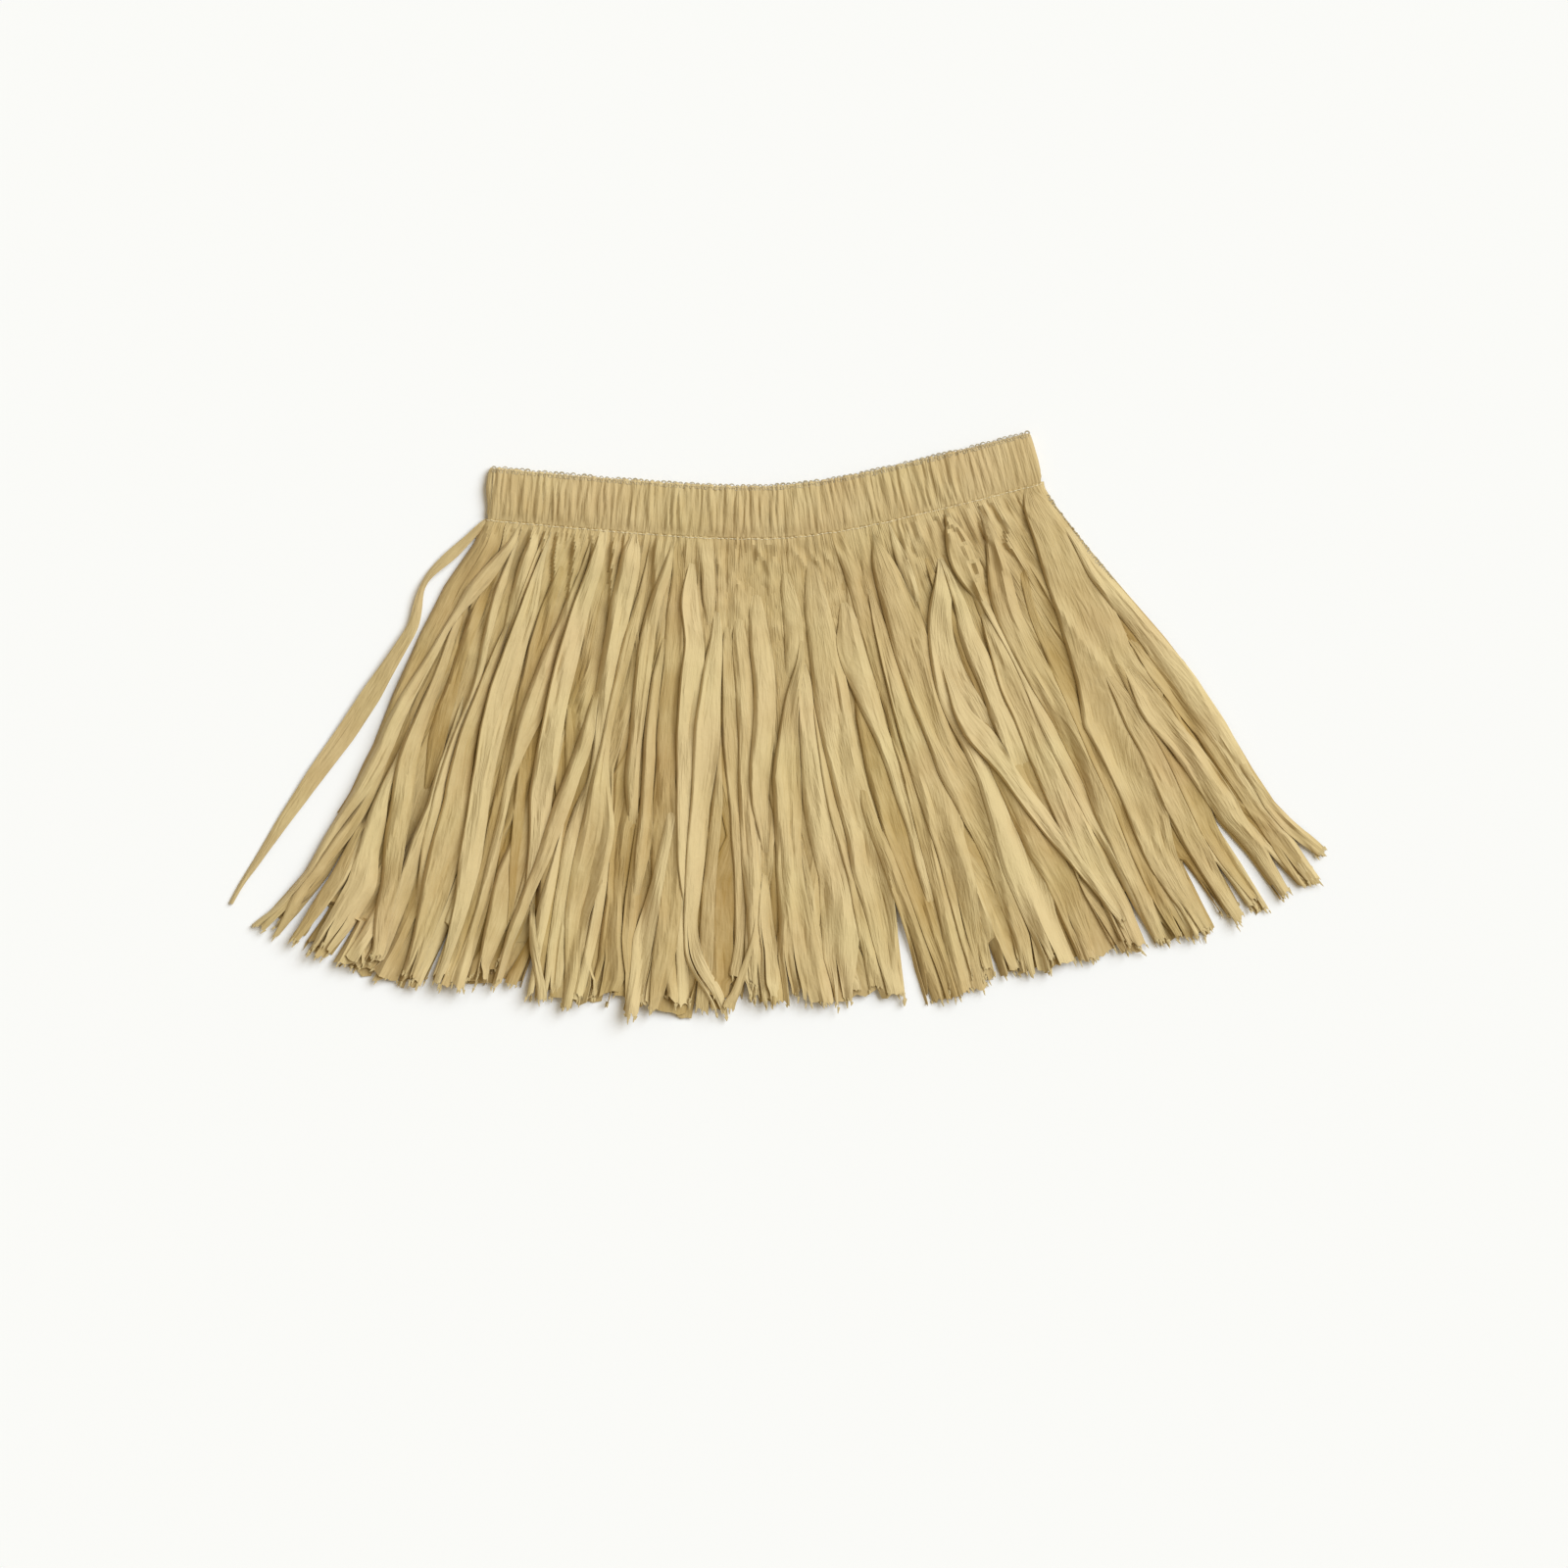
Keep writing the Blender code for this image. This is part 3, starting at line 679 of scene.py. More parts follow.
def front_head(u, w):
    """The front's height: gathers that die out, folds that grow, puffs and crumples, rolled down at the sides."""
    w = np.broadcast_to(w, np.shape(u))
    start = u / (1 - 1.25 * np.minimum(w, 0.2)) + 0.012 * patches(u, w, 0.12, 0.03, 21)
    fine = folds(start, GATHERS, 0.4, 13) * np.exp(-w / 0.022)
    wide = folds(start, WIDE_FOLDS, 0.2, 14) * ease(w / 0.018) * (1 - 0.72 * smooth_middle(u))
    z = SEAM_HIGH - HEAD_FALLS * ease(w / 0.04) + puffs(u, w) + liveliness(u) * (
        GATHER_HIGH * fine + WIDE_FOLD_HIGH * wide + CRUMPLE_HIGH * ease(w / 0.012) * crumples(u, w))
    z = seam_height(u) + (z - seam_height(u)) * ease(w / 0.006)
    return side_roll(u, z, 0.0016, 0.005)


def back_head(u, w):
    """The back's height: low folds, pressed by the front that lies on them."""
    w = np.broadcast_to(w, np.shape(u))
    z = 0.0009 + 0.0010 * folds(u, uneven_steps(42, 0.4, 15), 0.5, 16)
    z = z + 0.0002 * patches(u, w, 0.04, 0.02, 24)
    return side_roll(u, z, 0.0012, 0.004)


print("heads", [round(float(f(0.3, 0.03)) * 1000, 1) for f in (back_head, front_head)], "mm high")

# %% [markdown]
# ## Slitting the cloth
#
# Both panels are made by the same rule. The cloth's width is divided unevenly, each border has its own slit that
# starts higher or lower, and below the slit the two strips part, sway and slide over each other. The strips are laid
# in a mixed order, so some lie over their neighbours on both sides and some under. A strip isn't cut out of a finished
# panel: it is made whole from the seam to the hem, lies on the head's own surface above its slits, and is free below.

# %% Slit cloth
TEAR_GAP = (0.002, 0.0045)


def slit_cloth(cloth_at, count, seed, head, slit, arch, widen, sway, facets, shades):
    """Cuts a panel into count strips and lays them. slit is the range of drops where the slits start, widen and sway
    say how far a strip spreads and wanders, and shades is the range of its tones below the slits, which callers set
    low for strips that lie under others, as painted shade."""
    chance = np.random.default_rng(seed)
    steps = uneven_steps(count, 0.5, seed) * 2 - 1
    tops = chance.uniform(*slit, count + 1) + (chance.random(count + 1) < 0.15) * 0.05 + 0.035 * smooth_middle(steps)
    for j in chance.permutation(count):
        pitch = steps[j + 1] - steps[j]
        sides = []
        for k, out in ((j, -1), (j + 1, 1)):
            wander = 0.007 * patches(steps[k], DROPS, 0.05, 0.07, seed + 1) * ease((DROPS - 0.03) / 0.08)
            lens = 0.42 + 0.38 * ease((DROPS - 0.12) / 0.1)
            own = sway * kinked(DROPS, 0.075, 991 * seed + j) + out * widen * pitch
            own = own + lens * pitch * kinked(DROPS, 0.055, 577 * seed + 2 * j + out)
            at_side = k in (0, count)
            line = steps[k] + (0 if at_side else 1) * (wander + own * ease((DROPS - tops[k]) / 0.05))
            sides.append(np.clip(line, -1.004, 1.004))
        left, right = sides
        right = np.maximum(right, left + NARROWEST)
        left, right = stand_aside(left, right, DROPS)
        end = float(hem((left[-12] + right[-12]) / 2)) + chance.uniform(-0.007, 0.003)
        n = int(math.ceil(end / ROW)) + 1
        left, right = left[:n], right[:n]
        wide = float(np.median((right - left) * spread(DROPS[:n])))
        t, shape = columns_and_facets(facets, n, wide, 1009 * seed + j, lean=1 if chance.random() < 0.75 else -1)
        u = left[:, None] + (right - left)[:, None] * t
        lift = arch * liveliness(left.mean()) * (1 + 0.5 * patches(j * 0.37, DROPS[:n], 0.05, 0.06, seed + 3))
        lift = lift * (1 + 0.9 * ease((DROPS[:n] - 0.18) / 0.1))
        laid = lay_down(0, left, right, t, lift, shape)
        free = ease((DROPS[:n, None] - (tops[j] + (tops[j + 1] - tops[j]) * t)) / 0.03)
        z = head(u, DROPS[:n, None]) * (1 - free) + laid * free
        press_in(0, left, right, t, z)
        tears = ((0.45, end - chance.uniform(0.012, 0.07), chance.uniform(*TEAR_GAP)),) if wide > 0.008 else ()
        shade = 0.6 + (chance.uniform(*shades) - 0.6) * free
        cloth_at((steps[j] + steps[j + 1]) / 2).ribbon(
            left, right, z, DROPS[:n], t, shade, end=end, tears=tears)


# %% The back panel
back = Cloth()
slit_cloth(
    lambda u: back, count=42, seed=31, head=back_head, slit=(0.05, 0.10), arch=0.0008, widen=0.16, sway=0.006,
    facets=3, shades=(0.4, 0.65))
print("pile after the back panel:", round(pile.max() * 1000, 1), "mm")

# %% The front panel's own strips
front = {"left": Cloth(), "middle": Cloth(), "right": Cloth()}


def front_at(u):
    """The part of the front that a strip at u belongs to."""
    return front["left" if u < -0.34 else "middle" if u < 0.34 else "right"]


# Painted shade: the front's own strips lie under the locks, so their tones reach lower than the locks'.
slit_cloth(
    front_at, count=60, seed=41, head=front_head, slit=(0.05, 0.11), arch=0.0022, widen=0.16, sway=0.022,
    facets=4, shades=(0.15, 0.65))
print("pile after the front's own strips:", round(pile.max() * 1000, 1), "mm")

# %% [markdown]
# ## The locks that lie on top
#
# Where a gather let out more cloth, it fell over its right neighbour as a flat lock with a crisp left edge. These are
# the skirt's main creases, and no rule gives them, so they are listed one by one: each row is a drop in millimetres
# with the lock's left and right edge in thousandths of u. They are laid in the order of the list, from left to right.
# Those whose name has a word of IN_VALLEYS lie low between the others, and are painted darker, as painted shade.

# %% The locks, listed one by one
LOCKS = (
    ("side_tuck", (2, -999, -923), (26, -1001, -899), (61, -1002, -899), (249, -1005, -939)),
    ("left_wide", (202, -941, -912), (225, -939, -910), (249, -933, -878), (296, -905, -841), (340, -894, -839),
        (357, -885, -847)),
    ("left_gap_strip", (244, -946, -928), (300, -944, -912), (360, -929, -914)),
    ("left_brown", (77, -889, -852), (120, -875, -843), (167, -870, -822), (185, -863, -813), (225, -826, -820)),
    ("loop_strip", (21, -860, -847), (54, -850, -819), (124, -804, -784), (143, -801, -783), (190, -811, -789),
        (214, -805, -784), (261, -783, -758), (284, -763, -739), (308, -749, -728)),
    ("loop_left", (77, -924, -903), (120, -916, -889), (190, -928, -882), (204, -920, -875), (225, -903, -853),
        (268, -859, -816), (354, -776, -756)),
    ("first_companion", (218, -970, -946), (244, -970, -941), (265, -979, -943), (308, -991, -968),
        (326, -988, -958), (343, -974, -951), (357, -961, -953)),
    ("first_lock", (13, -878, -852), (38, -917, -862), (49, -928, -867), (61, -936, -878), (80, -936, -912),
        (89, -944, -921), (106, -950, -925), (174, -998, -948), (237, -1007, -962), (261, -1006, -977),
        (284, -1004, -984), (331, -1000, -987), (356, -1011, -997)),
    ("diagonal_head", (17, -819, -777), (33, -814, -763), (49, -802, -757), (106, -759, -748)),
    ("left_middle", (117, -784, -752), (167, -791, -743), (214, -784, -719), (261, -762, -690), (331, -723, -684),
        (363, -711, -682)),
    ("narrow_upright", (22, -772, -757), (77, -759, -748), (99, -757, -750)),
    ("valley_strip", (66, -691, -647), (87, -689, -637), (124, -680, -630), (143, -673, -632), (178, -673, -635),
        (249, -650, -617), (319, -633, -615), (364, -631, -615)),
    ("long_s", (23, -756, -739), (63, -748, -696), (136, -756, -683), (202, -726, -672), (268, -691, -640),
        (293, -669, -635), (322, -656, -633), (363, -649, -635)),
    ("brown_slip", (162, -632, -622), (185, -625, -604), (225, -599, -573), (317, -545, -538)),
    ("fork_lock", (22, -604, -590), (38, -606, -586), (96, -640, -593), (143, -655, -589), (160, -657, -603),
        (178, -650, -617), (202, -643, -624), (319, -617, -600), (359, -615, -588)),
    ("slant_slip", (131, -546, -537), (160, -525, -499), (183, -506, -486), (200, -499, -488)),
    ("broad_left", (8, -577, -542), (26, -582, -533), (66, -596, -539), (106, -599, -534), (131, -596, -537),
        (174, -589, -528), (209, -575, -518), (244, -551, -509), (284, -530, -511), (340, -546, -530)),
    ("upright_b", (14, -485, -415), (31, -482, -408), (120, -473, -420), (167, -447, -423), (190, -448, -427),
        (214, -467, -429), (237, -473, -427), (363, -447, -414)),
    ("crossing_a", (117, -472, -464), (157, -489, -451), (171, -498, -454), (209, -518, -473), (261, -527, -500),
        (308, -542, -520), (352, -538, -530)),
    ("crossing_a_foot", (291, -515, -506), (326, -492, -475), (360, -454, -438)),
    ("leaf_a", (21, -390, -384), (49, -403, -377), (87, -423, -387), (155, -429, -409), (178, -435, -405),
        (202, -438, -386), (225, -437, -367), (249, -436, -369), (296, -433, -393), (319, -425, -394),
        (343, -415, -385), (363, -410, -393)),
    ("valley_m", (12, -306, -273), (33, -297, -253), (56, -304, -242), (77, -298, -237), (143, -299, -241),
        (178, -296, -234), (225, -285, -221), (272, -264, -200), (296, -256, -207), (363, -253, -235)),
    ("wide_m", (12, -315, -301), (26, -333, -296), (49, -360, -319), (61, -368, -325), (96, -374, -326),
        (167, -362, -329), (190, -358, -326), (225, -334, -315)),
    ("leaf_b", (73, -302, -296), (108, -324, -296), (131, -327, -297), (155, -327, -297), (221, -311, -283),
        (244, -313, -281), (282, -303, -294)),
    ("foot_b", (204, -247, -231), (308, -296, -260), (363, -297, -273)),
    ("head_fold_m", (6, -221, -165), (35, -198, -151), (49, -193, -150), (70, -174, -162)),
    ("smooth_m", (49, -266, -207), (75, -243, -187), (87, -239, -180), (106, -246, -182), (155, -245, -197),
        (202, -235, -197), (249, -221, -189), (284, -200, -180)),
    ("pleat_m1", (82, -132, -99), (155, -127, -84), (178, -121, -85), (249, -105, -72), (308, -99, -82),
        (340, -111, -89)),
    ("pleat_m2", (74, -101, -61), (96, -99, -52), (143, -90, -48), (155, -88, -54), (190, -92, -54),
        (261, -80, -46), (340, -74, -61)),
    ("smooth_m_right", (73, -165, -131), (96, -181, -131), (143, -200, -136), (296, -199, -178), (317, -195, -166),
        (331, -184, -151), (345, -160, -127), (362, -133, -114)),
    ("thin_cross_m", (279, -56, -50), (300, -63, -56), (363, -122, -104)),
    ("centre_lock", (54, -50, -5), (87, -54, 9), (108, -48, 12), (134, -48, 7), (178, -61, -18), (202, -58, -23),
        (244, -39, -27)),
    ("centre_foot", (249, -40, -33), (296, -56, -23), (343, -54, -18), (356, -43, -20)),
    ("centre_fold_r", (40, 46, 89), (56, 48, 101), (73, 46, 101), (87, 43, 94), (101, 40, 75), (110, 36, 56)),
    ("pleat_r1", (110, 61, 104), (134, 59, 102), (190, 52, 113), (272, 61, 141), (308, 67, 132), (354, 73, 101)),
    ("centre_slant", (73, 92, 101), (96, 72, 94), (120, 34, 72), (141, 14, 58), (178, -11, 55), (249, -23, 44),
        (319, -15, 61), (352, -8, 64)),
    ("pleat_r2", (120, 102, 113), (155, 98, 122), (190, 101, 132), (261, 122, 151), (354, 136, 158)),
    ("broad_r", (27, 130, 169), (56, 111, 184), (120, 104, 195), (167, 114, 195), (237, 136, 209), (261, 138, 208),
        (353, 165, 196)),
    ("gap_right", (209, 174, 198), (296, 217, 254), (343, 226, 271), (364, 229, 271)),
    ("brown_r", (143, 198, 235), (190, 202, 255), (363, 264, 293)),
    ("apex_r", (50, 225, 232), (61, 209, 250), (85, 182, 263), (99, 185, 266), (155, 226, 271), (192, 249, 280),
        (237, 264, 285), (296, 271, 289)),
    ("long_crease_r", (1, 227, 264), (21, 237, 288), (38, 248, 293), (96, 260, 300), (143, 274, 293),
        (167, 273, 291), (225, 280, 308), (363, 289, 306)),
    ("strip_r3", (77, 293, 329), (120, 293, 341), (143, 291, 353), (214, 305, 391), (261, 315, 376),
        (331, 311, 353), (358, 314, 344)),
    ("puff_small", (18, 416, 444), (31, 414, 454), (42, 415, 457), (56, 419, 454), (68, 425, 444)),
    ("round_q", (26, 336, 401), (38, 334, 416), (77, 330, 433), (101, 331, 435), (138, 340, 420), (157, 352, 413),
        (176, 360, 416), (200, 366, 437), (225, 383, 454), (249, 396, 467), (272, 401, 472), (331, 404, 467),
        (361, 408, 451)),
    ("deep_r", (73, 494, 528), (96, 495, 533), (167, 504, 524)),
    ("big_sweep", (36, 552, 560), (56, 504, 558), (68, 474, 544), (82, 448, 519), (99, 429, 501), (115, 417, 496),
        (134, 409, 500), (150, 405, 508), (167, 408, 515), (209, 427, 528), (237, 432, 533), (296, 440, 519),
        (331, 444, 500), (358, 448, 496)),
    ("pleat_q1", (77, 538, 576), (96, 520, 568), (120, 515, 576), (143, 520, 571), (209, 511, 564)),
    ("brown_q", (202, 472, 519), (225, 477, 538), (272, 491, 552), (308, 500, 557), (340, 505, 552),
        (360, 510, 543)),
    ("curve_q", (83, 603, 614), (101, 587, 632), (115, 580, 638), (150, 561, 643), (178, 559, 647), (214, 561, 646),
        (237, 564, 632), (261, 566, 628), (331, 592, 638), (363, 594, 630)),
    ("long_slant", (155, 431, 472), (174, 444, 512), (204, 486, 523), (223, 505, 536), (244, 520, 559),
        (291, 560, 592), (317, 585, 609), (343, 604, 616)),
    ("strip_q7", (73, 610, 632), (124, 625, 641), (190, 619, 651), (225, 622, 656), (261, 632, 660),
        (364, 645, 666)),
    ("puff_round", (8, 625, 643), (26, 589, 667), (38, 576, 672), (49, 573, 668), (61, 581, 658), (76, 608, 633)),
    ("mid_right", (23, 736, 758), (68, 656, 736), (80, 642, 721), (96, 634, 707), (120, 634, 703), (214, 647, 720),
        (237, 651, 717), (261, 649, 707), (284, 656, 694), (365, 645, 672)),
    ("slot_strip", (59, 776, 788), (73, 751, 778), (87, 736, 757), (101, 722, 745), (143, 704, 736),
        (331, 681, 703), (372, 683, 696)),
    ("broad_right", (12, 896, 990), (33, 872, 993), (52, 848, 990), (82, 815, 961), (138, 759, 924),
        (157, 741, 914), (190, 722, 914), (209, 718, 853), (237, 716, 801), (340, 707, 754), (372, 718, 750)),
    ("right_mid_strip", (200, 794, 853), (225, 796, 858), (261, 790, 848), (331, 780, 816), (373, 787, 812)),
    ("right_slit_strip", (190, 841, 872), (214, 844, 886), (237, 846, 879), (284, 839, 879), (331, 827, 857),
        (367, 838, 854)),
    ("pale_edge", (33, 976, 995), (56, 966, 996), (82, 939, 996), (214, 938, 996), (261, 951, 993), (312, 961, 980),
        (365, 943, 964)),
    ("brown_right", (178, 907, 943), (265, 938, 961), (296, 943, 966), (331, 928, 964), (366, 929, 961)),
    ("right_strip_2", (200, 844, 904), (237, 863, 920), (284, 880, 931), (370, 887, 906)),
    ("corner_strip", (256, 976, 995), (284, 979, 994), (322, 974, 1003), (336, 976, 1008), (349, 990, 1010)),
)
IN_VALLEYS = ("brown", "gap", "valley", "tuck", "slip", "deep", "slot", "slit_strip")
print(len(LOCKS), "locks,", sum(any(word in lock[0] for word in IN_VALLEYS) for lock in LOCKS), "of them in valleys")

# %% [markdown]
# ## Laying a lock
#
# A lock comes out of the head, lies on what is there and ends at the hem or slips back under its neighbours. So its
# table gets a narrow row above its first, it rises out of the pile over two or three centimetres, and where it doesn't
# reach the hem it sinks again. Its edges are softened, and then kinked a little, as crinkled cloth is. Wide locks have
# torn up from the hem.

# %% Laying a lock
# The drop up to which a lock comes out of the seam, the one from which it ends at the hem, how wide a top is wide in
# u, and in metres the width for each column and for each tear.
HIGH_UP = 0.030
REACHES_HEM = 0.335
WIDE_TOP = 0.022
COLUMN = 0.0029
TEAR_EVERY = 0.0065
# A lock's arch is about half its width, between these heights, and the drops over which it rises and sinks.
LOWEST_ARCH, HIGHEST_ARCH = 0.0022, 0.0078
WIDE_RISE, NARROW_RISE, SINK = 0.026, 0.020, 0.02


def lay_lock(name, rows, seed):
    """Lays a strip of its own. rows are drops in millimetres with left and right edges in thousandths of u."""
    chance = np.random.default_rng(seed)
    low = any(word in name for word in IN_VALLEYS)
    rows = [(w / 1000, a / 1000, b / 1000) for w, a, b in rows]
    top, a, b = rows[0]
    wide_top = b - a > WIDE_TOP
    middle, half = (a + b) / 2, (b - a) / 2
    calm = smooth_middle(middle)
    if wide_top and top > HIGH_UP:
        rows.insert(0, (max(0.008, top - 0.045 + 0.025 * calm), middle - 0.2 * half, middle + 0.2 * half))
    elif top <= HIGH_UP:
        share = 0.8 if wide_top and top < 0.012 else 0.12
        rows.insert(0, (max(0.001, top - 0.014), middle - share * half, middle + share * half))
    top, foot = rows[0][0], rows[-1][0]
    at_hem = foot > REACHES_HEM
    end = foot + (chance.uniform(-0.002, 0.002) if at_hem else 0)
    first = int(math.floor(top / ROW))
    last = min(int(math.ceil(end / ROW)), len(DROPS) - 1)
    w = DROPS[first:last + 1]
    table = np.array(rows)
    edges = np.stack([np.interp(w, table[:, 0], table[:, 1]), np.interp(w, table[:, 0], table[:, 2])], 1)
    edges = soften(edges)
    drift = 0.0015 * patches(seed * 0.17, w, 0.05, 0.03, 51)
    lens = 0.13 * (edges[:, 1] - edges[:, 0]) * ease((w - 0.11) / 0.08)
    left = edges[:, 0] + drift - lens * kinked(w, 0.05, 3 * seed)
    right = edges[:, 1] + drift + lens * kinked(w, 0.05, 3 * seed + 1)
    if name == "narrow":
        left, right = stand_aside(left, right, w)
    widths = (right - left) * spread(w)
    columns = int(np.clip(np.max(widths) / COLUMN, 4, 12))
    t, shape = columns_and_facets(columns, len(w), float(np.median(widths)), seed)
    arch = np.clip(0.48 * widths, LOWEST_ARCH, HIGHEST_ARCH) * chance.uniform(0.8, 1.15)
    arch = arch * (0.35 if low else 1) * liveliness(left.mean())
    arch = arch * (1 + 0.25 * patches(seed * 0.31, w, 0.05, 0.05, 52)) * (1 - 0.55 * ease((w - 0.10) / 0.2))
    arch = arch * (1 - 0.66 * calm * (1 - ease((w - 0.06) / 0.07)))
    z = lay_down(first, left, right, t, arch, shape)
    below = pile_under(first, left, right, t)
    rise = ease((w - w[0]) / (WIDE_RISE if wide_top else NARROW_RISE))[:, None]
    z = (below - (0.0001 if w[0] < 0.012 else 0.0009)) * (1 - rise) + z * rise
    if not at_hem:
        sink = ease((w - (w[-1] - SINK)) / SINK)[:, None]
        z = z * (1 - sink) + (below - 0.0006) * sink
    z = z + 0.85 * rise * puffs(left[:, None] + (right - left)[:, None] * t, w[:, None] * np.ones_like(t))
    press_in(first, left, right, t, z)
    tears = []
    if at_hem:
        for k in range(1, int(widths[-6] / TEAR_EVERY)):
            at = k * TEAR_EVERY / widths[-6] + chance.uniform(-0.06, 0.06)
            stop = end - chance.uniform(0.010, 0.09) * chance.uniform(0.3, 1)
            tears.append((at, stop, chance.uniform(*TEAR_GAP)))
    # Painted shade: locks that lie low in valleys get darker tones than those on top.
    shade = chance.uniform(0.2, 0.45) if low else chance.uniform(0.5, 0.95)
    cloth = front_at((left.mean() + right.mean()) / 2)
    cloth.ribbon(left, right, z, w, t, shade, end=end if at_hem else None, tears=tears)


print("a lock has a column for every", 1000 * COLUMN, "mm of width")

# %% Narrow strips between the locks
NARROW_STRIPS = 34
fillers = np.random.default_rng(61)
for k in range(NARROW_STRIPS):
    place = -0.96 + 1.92 * (k + fillers.uniform(0.1, 0.9)) / NARROW_STRIPS
    start = fillers.uniform(130, 230)
    half = fillers.uniform(9, 19)
    lean = fillers.uniform(-55, 55)
    stops = [start, start + 60, 300, 1000 * float(hem(place)) + fillers.uniform(-8, 2)]
    at = [place * 1000 + lean * (1 - (s - start) / 230) for s in stops]
    lay_lock("narrow", [(s, a - half * f, a + half * f) for s, a, f in zip(stops, at, (0.05, 1, 1, 0.85))], 700 + k)
print(NARROW_STRIPS, "narrow strips; the pile is now", round(pile.max() * 1000, 1), "mm high")

# %% The locks, laid, and the finished panels
for k, (name, *rows) in enumerate(LOCKS):
    lay_lock(name, rows, 100 + k)
back_cloth = back.piece("back_panel", skirt_cloth)
print(len(LOCKS), "locks; the pile is now", round(pile.max() * 1000, 1), "mm high")
front_pieces = [front[side].piece("front_" + side, skirt_cloth) for side in ("left", "middle", "right")]

# %% [markdown]
# ## The strip that slipped out
#
# One strip at the left side has come out from under the locks. It twists where it is narrow, lies against the side
# of the skirt and ends in a thin curl. Its middle line and half widths are those of its CAD solid. A curve with a
# bevel would draw it too, but then it could not twist and cup like the other strips, so it is a sheet along a line.

# %% The loose strip
# Columns: x and y of its middle line, half its width, its height on the table and its tilt.
LOOSE = np.array([
    (-0.2065, -0.0262, 0.0022, 0.0022, 0.0000), (-0.2120, -0.0302, 0.0026, 0.0026, 0.0000),
    (-0.2223, -0.0410, 0.0030, 0.0030, 0.0002), (-0.2361, -0.0541, 0.0044, 0.0034, 0.0006),
    (-0.2501, -0.0660, 0.0026, 0.0034, 0.0016), (-0.2575, -0.0771, 0.0014, 0.0032, -0.0012),
    (-0.2598, -0.0883, 0.0034, 0.0030, -0.0010), (-0.2626, -0.1061, 0.0040, 0.0046, 0.0009),
    (-0.2815, -0.1365, 0.0055, 0.0054, 0.0012), (-0.2948, -0.1578, 0.0076, 0.0042, 0.0010),
    (-0.3146, -0.1877, 0.0075, 0.0024, 0.0003), (-0.3365, -0.2176, 0.0065, 0.0019, -0.0003),
    (-0.3640, -0.2574, 0.0044, 0.0018, 0.0004), (-0.3771, -0.2774, 0.0030, 0.0016, 0.0008),
    (-0.3947, -0.3032, 0.0016, 0.0013, 0.0005), (-0.4034, -0.3192, 0.0012, 0.0010, 0.0002)])
LOOSE_COLUMNS = 9


def loose_strip():
    """The strip as a sheet: cupped, tilted by the table's last column, and wavy."""
    middle = LOOSE[:, :2] - np.array(LAY_MIDDLE)
    run = np.concatenate([[0], np.cumsum(np.hypot(*np.diff(middle, axis=0).T))])
    s = np.linspace(0, run[-1], 130)
    line = soften(np.stack([np.interp(s, run, middle[:, 0]), np.interp(s, run, middle[:, 1])], 1))
    half, high, tilt = (soften(np.interp(s, run, LOOSE[:, k])[:, None])[:, 0] for k in (2, 3, 4))
    ahead = np.gradient(line, axis=0)
    ahead = ahead / np.linalg.norm(ahead, axis=1)[:, None]
    across = np.stack([-ahead[:, 1], ahead[:, 0]], 1)
    cloth = Cloth()
    t = np.linspace(-1, 1, LOOSE_COLUMNS)
    for i in range(len(s)):
        for j in t:
            bend = 0.0012 * (1 - j * j) * min(1, 0.004 / half[i])
            wave = 0.0004 * float(patches(j * 0.3, s[i], 0.1, 0.012, 71))
            p = line[i] + across[i] * half[i] * j
            cloth.points.append((float(p[0]), float(p[1]), float(high[i] + tilt[i] * j + bend + wave)))
            cloth.grain.append((float(0.007 * j), float(s[i])))
            cloth.tones.append(0.7)
    for i in range(len(s) - 1):
        for a in range(i * LOOSE_COLUMNS, (i + 1) * LOOSE_COLUMNS - 1):
            cloth.faces.append((a, a + 1, a + 1 + LOOSE_COLUMNS, a + LOOSE_COLUMNS))
    return cloth.piece("slipped_strip", skirt_cloth)


slipped = loose_strip()

# %% [markdown]
# ## The waistband
#
# The band is a casing: the skirt's top, folded over an elastic and stitched down, all round the waist. Laid flat it is
# a closed ring, pressed together, with a round fold at each side and the open waist as a slit along its top. The plain
# casing is made row by row. Its gathers follow a rule, so Geometry Nodes make them: uneven ridges round the ring,
# narrow valleys between them, each one shorter, deeper or more slanting than the last.

# %% The plain casing
# Its cross-section: from the seam up the outside, over the top edge and down the inside. Columns: w, and how far it
# stands out in millimetres.
BAND_ROWS = np.array([
    (0.0012, 0.3), (-0.0005, 0.8), (-0.0022, 1.1), (-0.005, 1.5), (-0.010, 2.0), (-0.017, 2.4), (-0.024, 2.5),
    (-0.030, 2.3), (-0.034, 2.1), (-0.0365, 1.9), (-0.0378, 1.2), (-0.0380, 0.7), (-0.0374, 0.35), (-0.034, 0.3),
    (-0.026, 0.3), (-0.016, 0.3), (-0.006, 0.3)])
OUTSIDE_ROWS = 12
FRONT_COLUMNS, SIDE_COLUMNS, BACK_COLUMNS = 640, 11, 360
# The height of the ring's middle, how far its side folds reach, and how far its back may stand out.
BAND_MIDDLE = 0.0040
SIDE_ROUND = 0.0036
BACK_FLAT = 0.0017


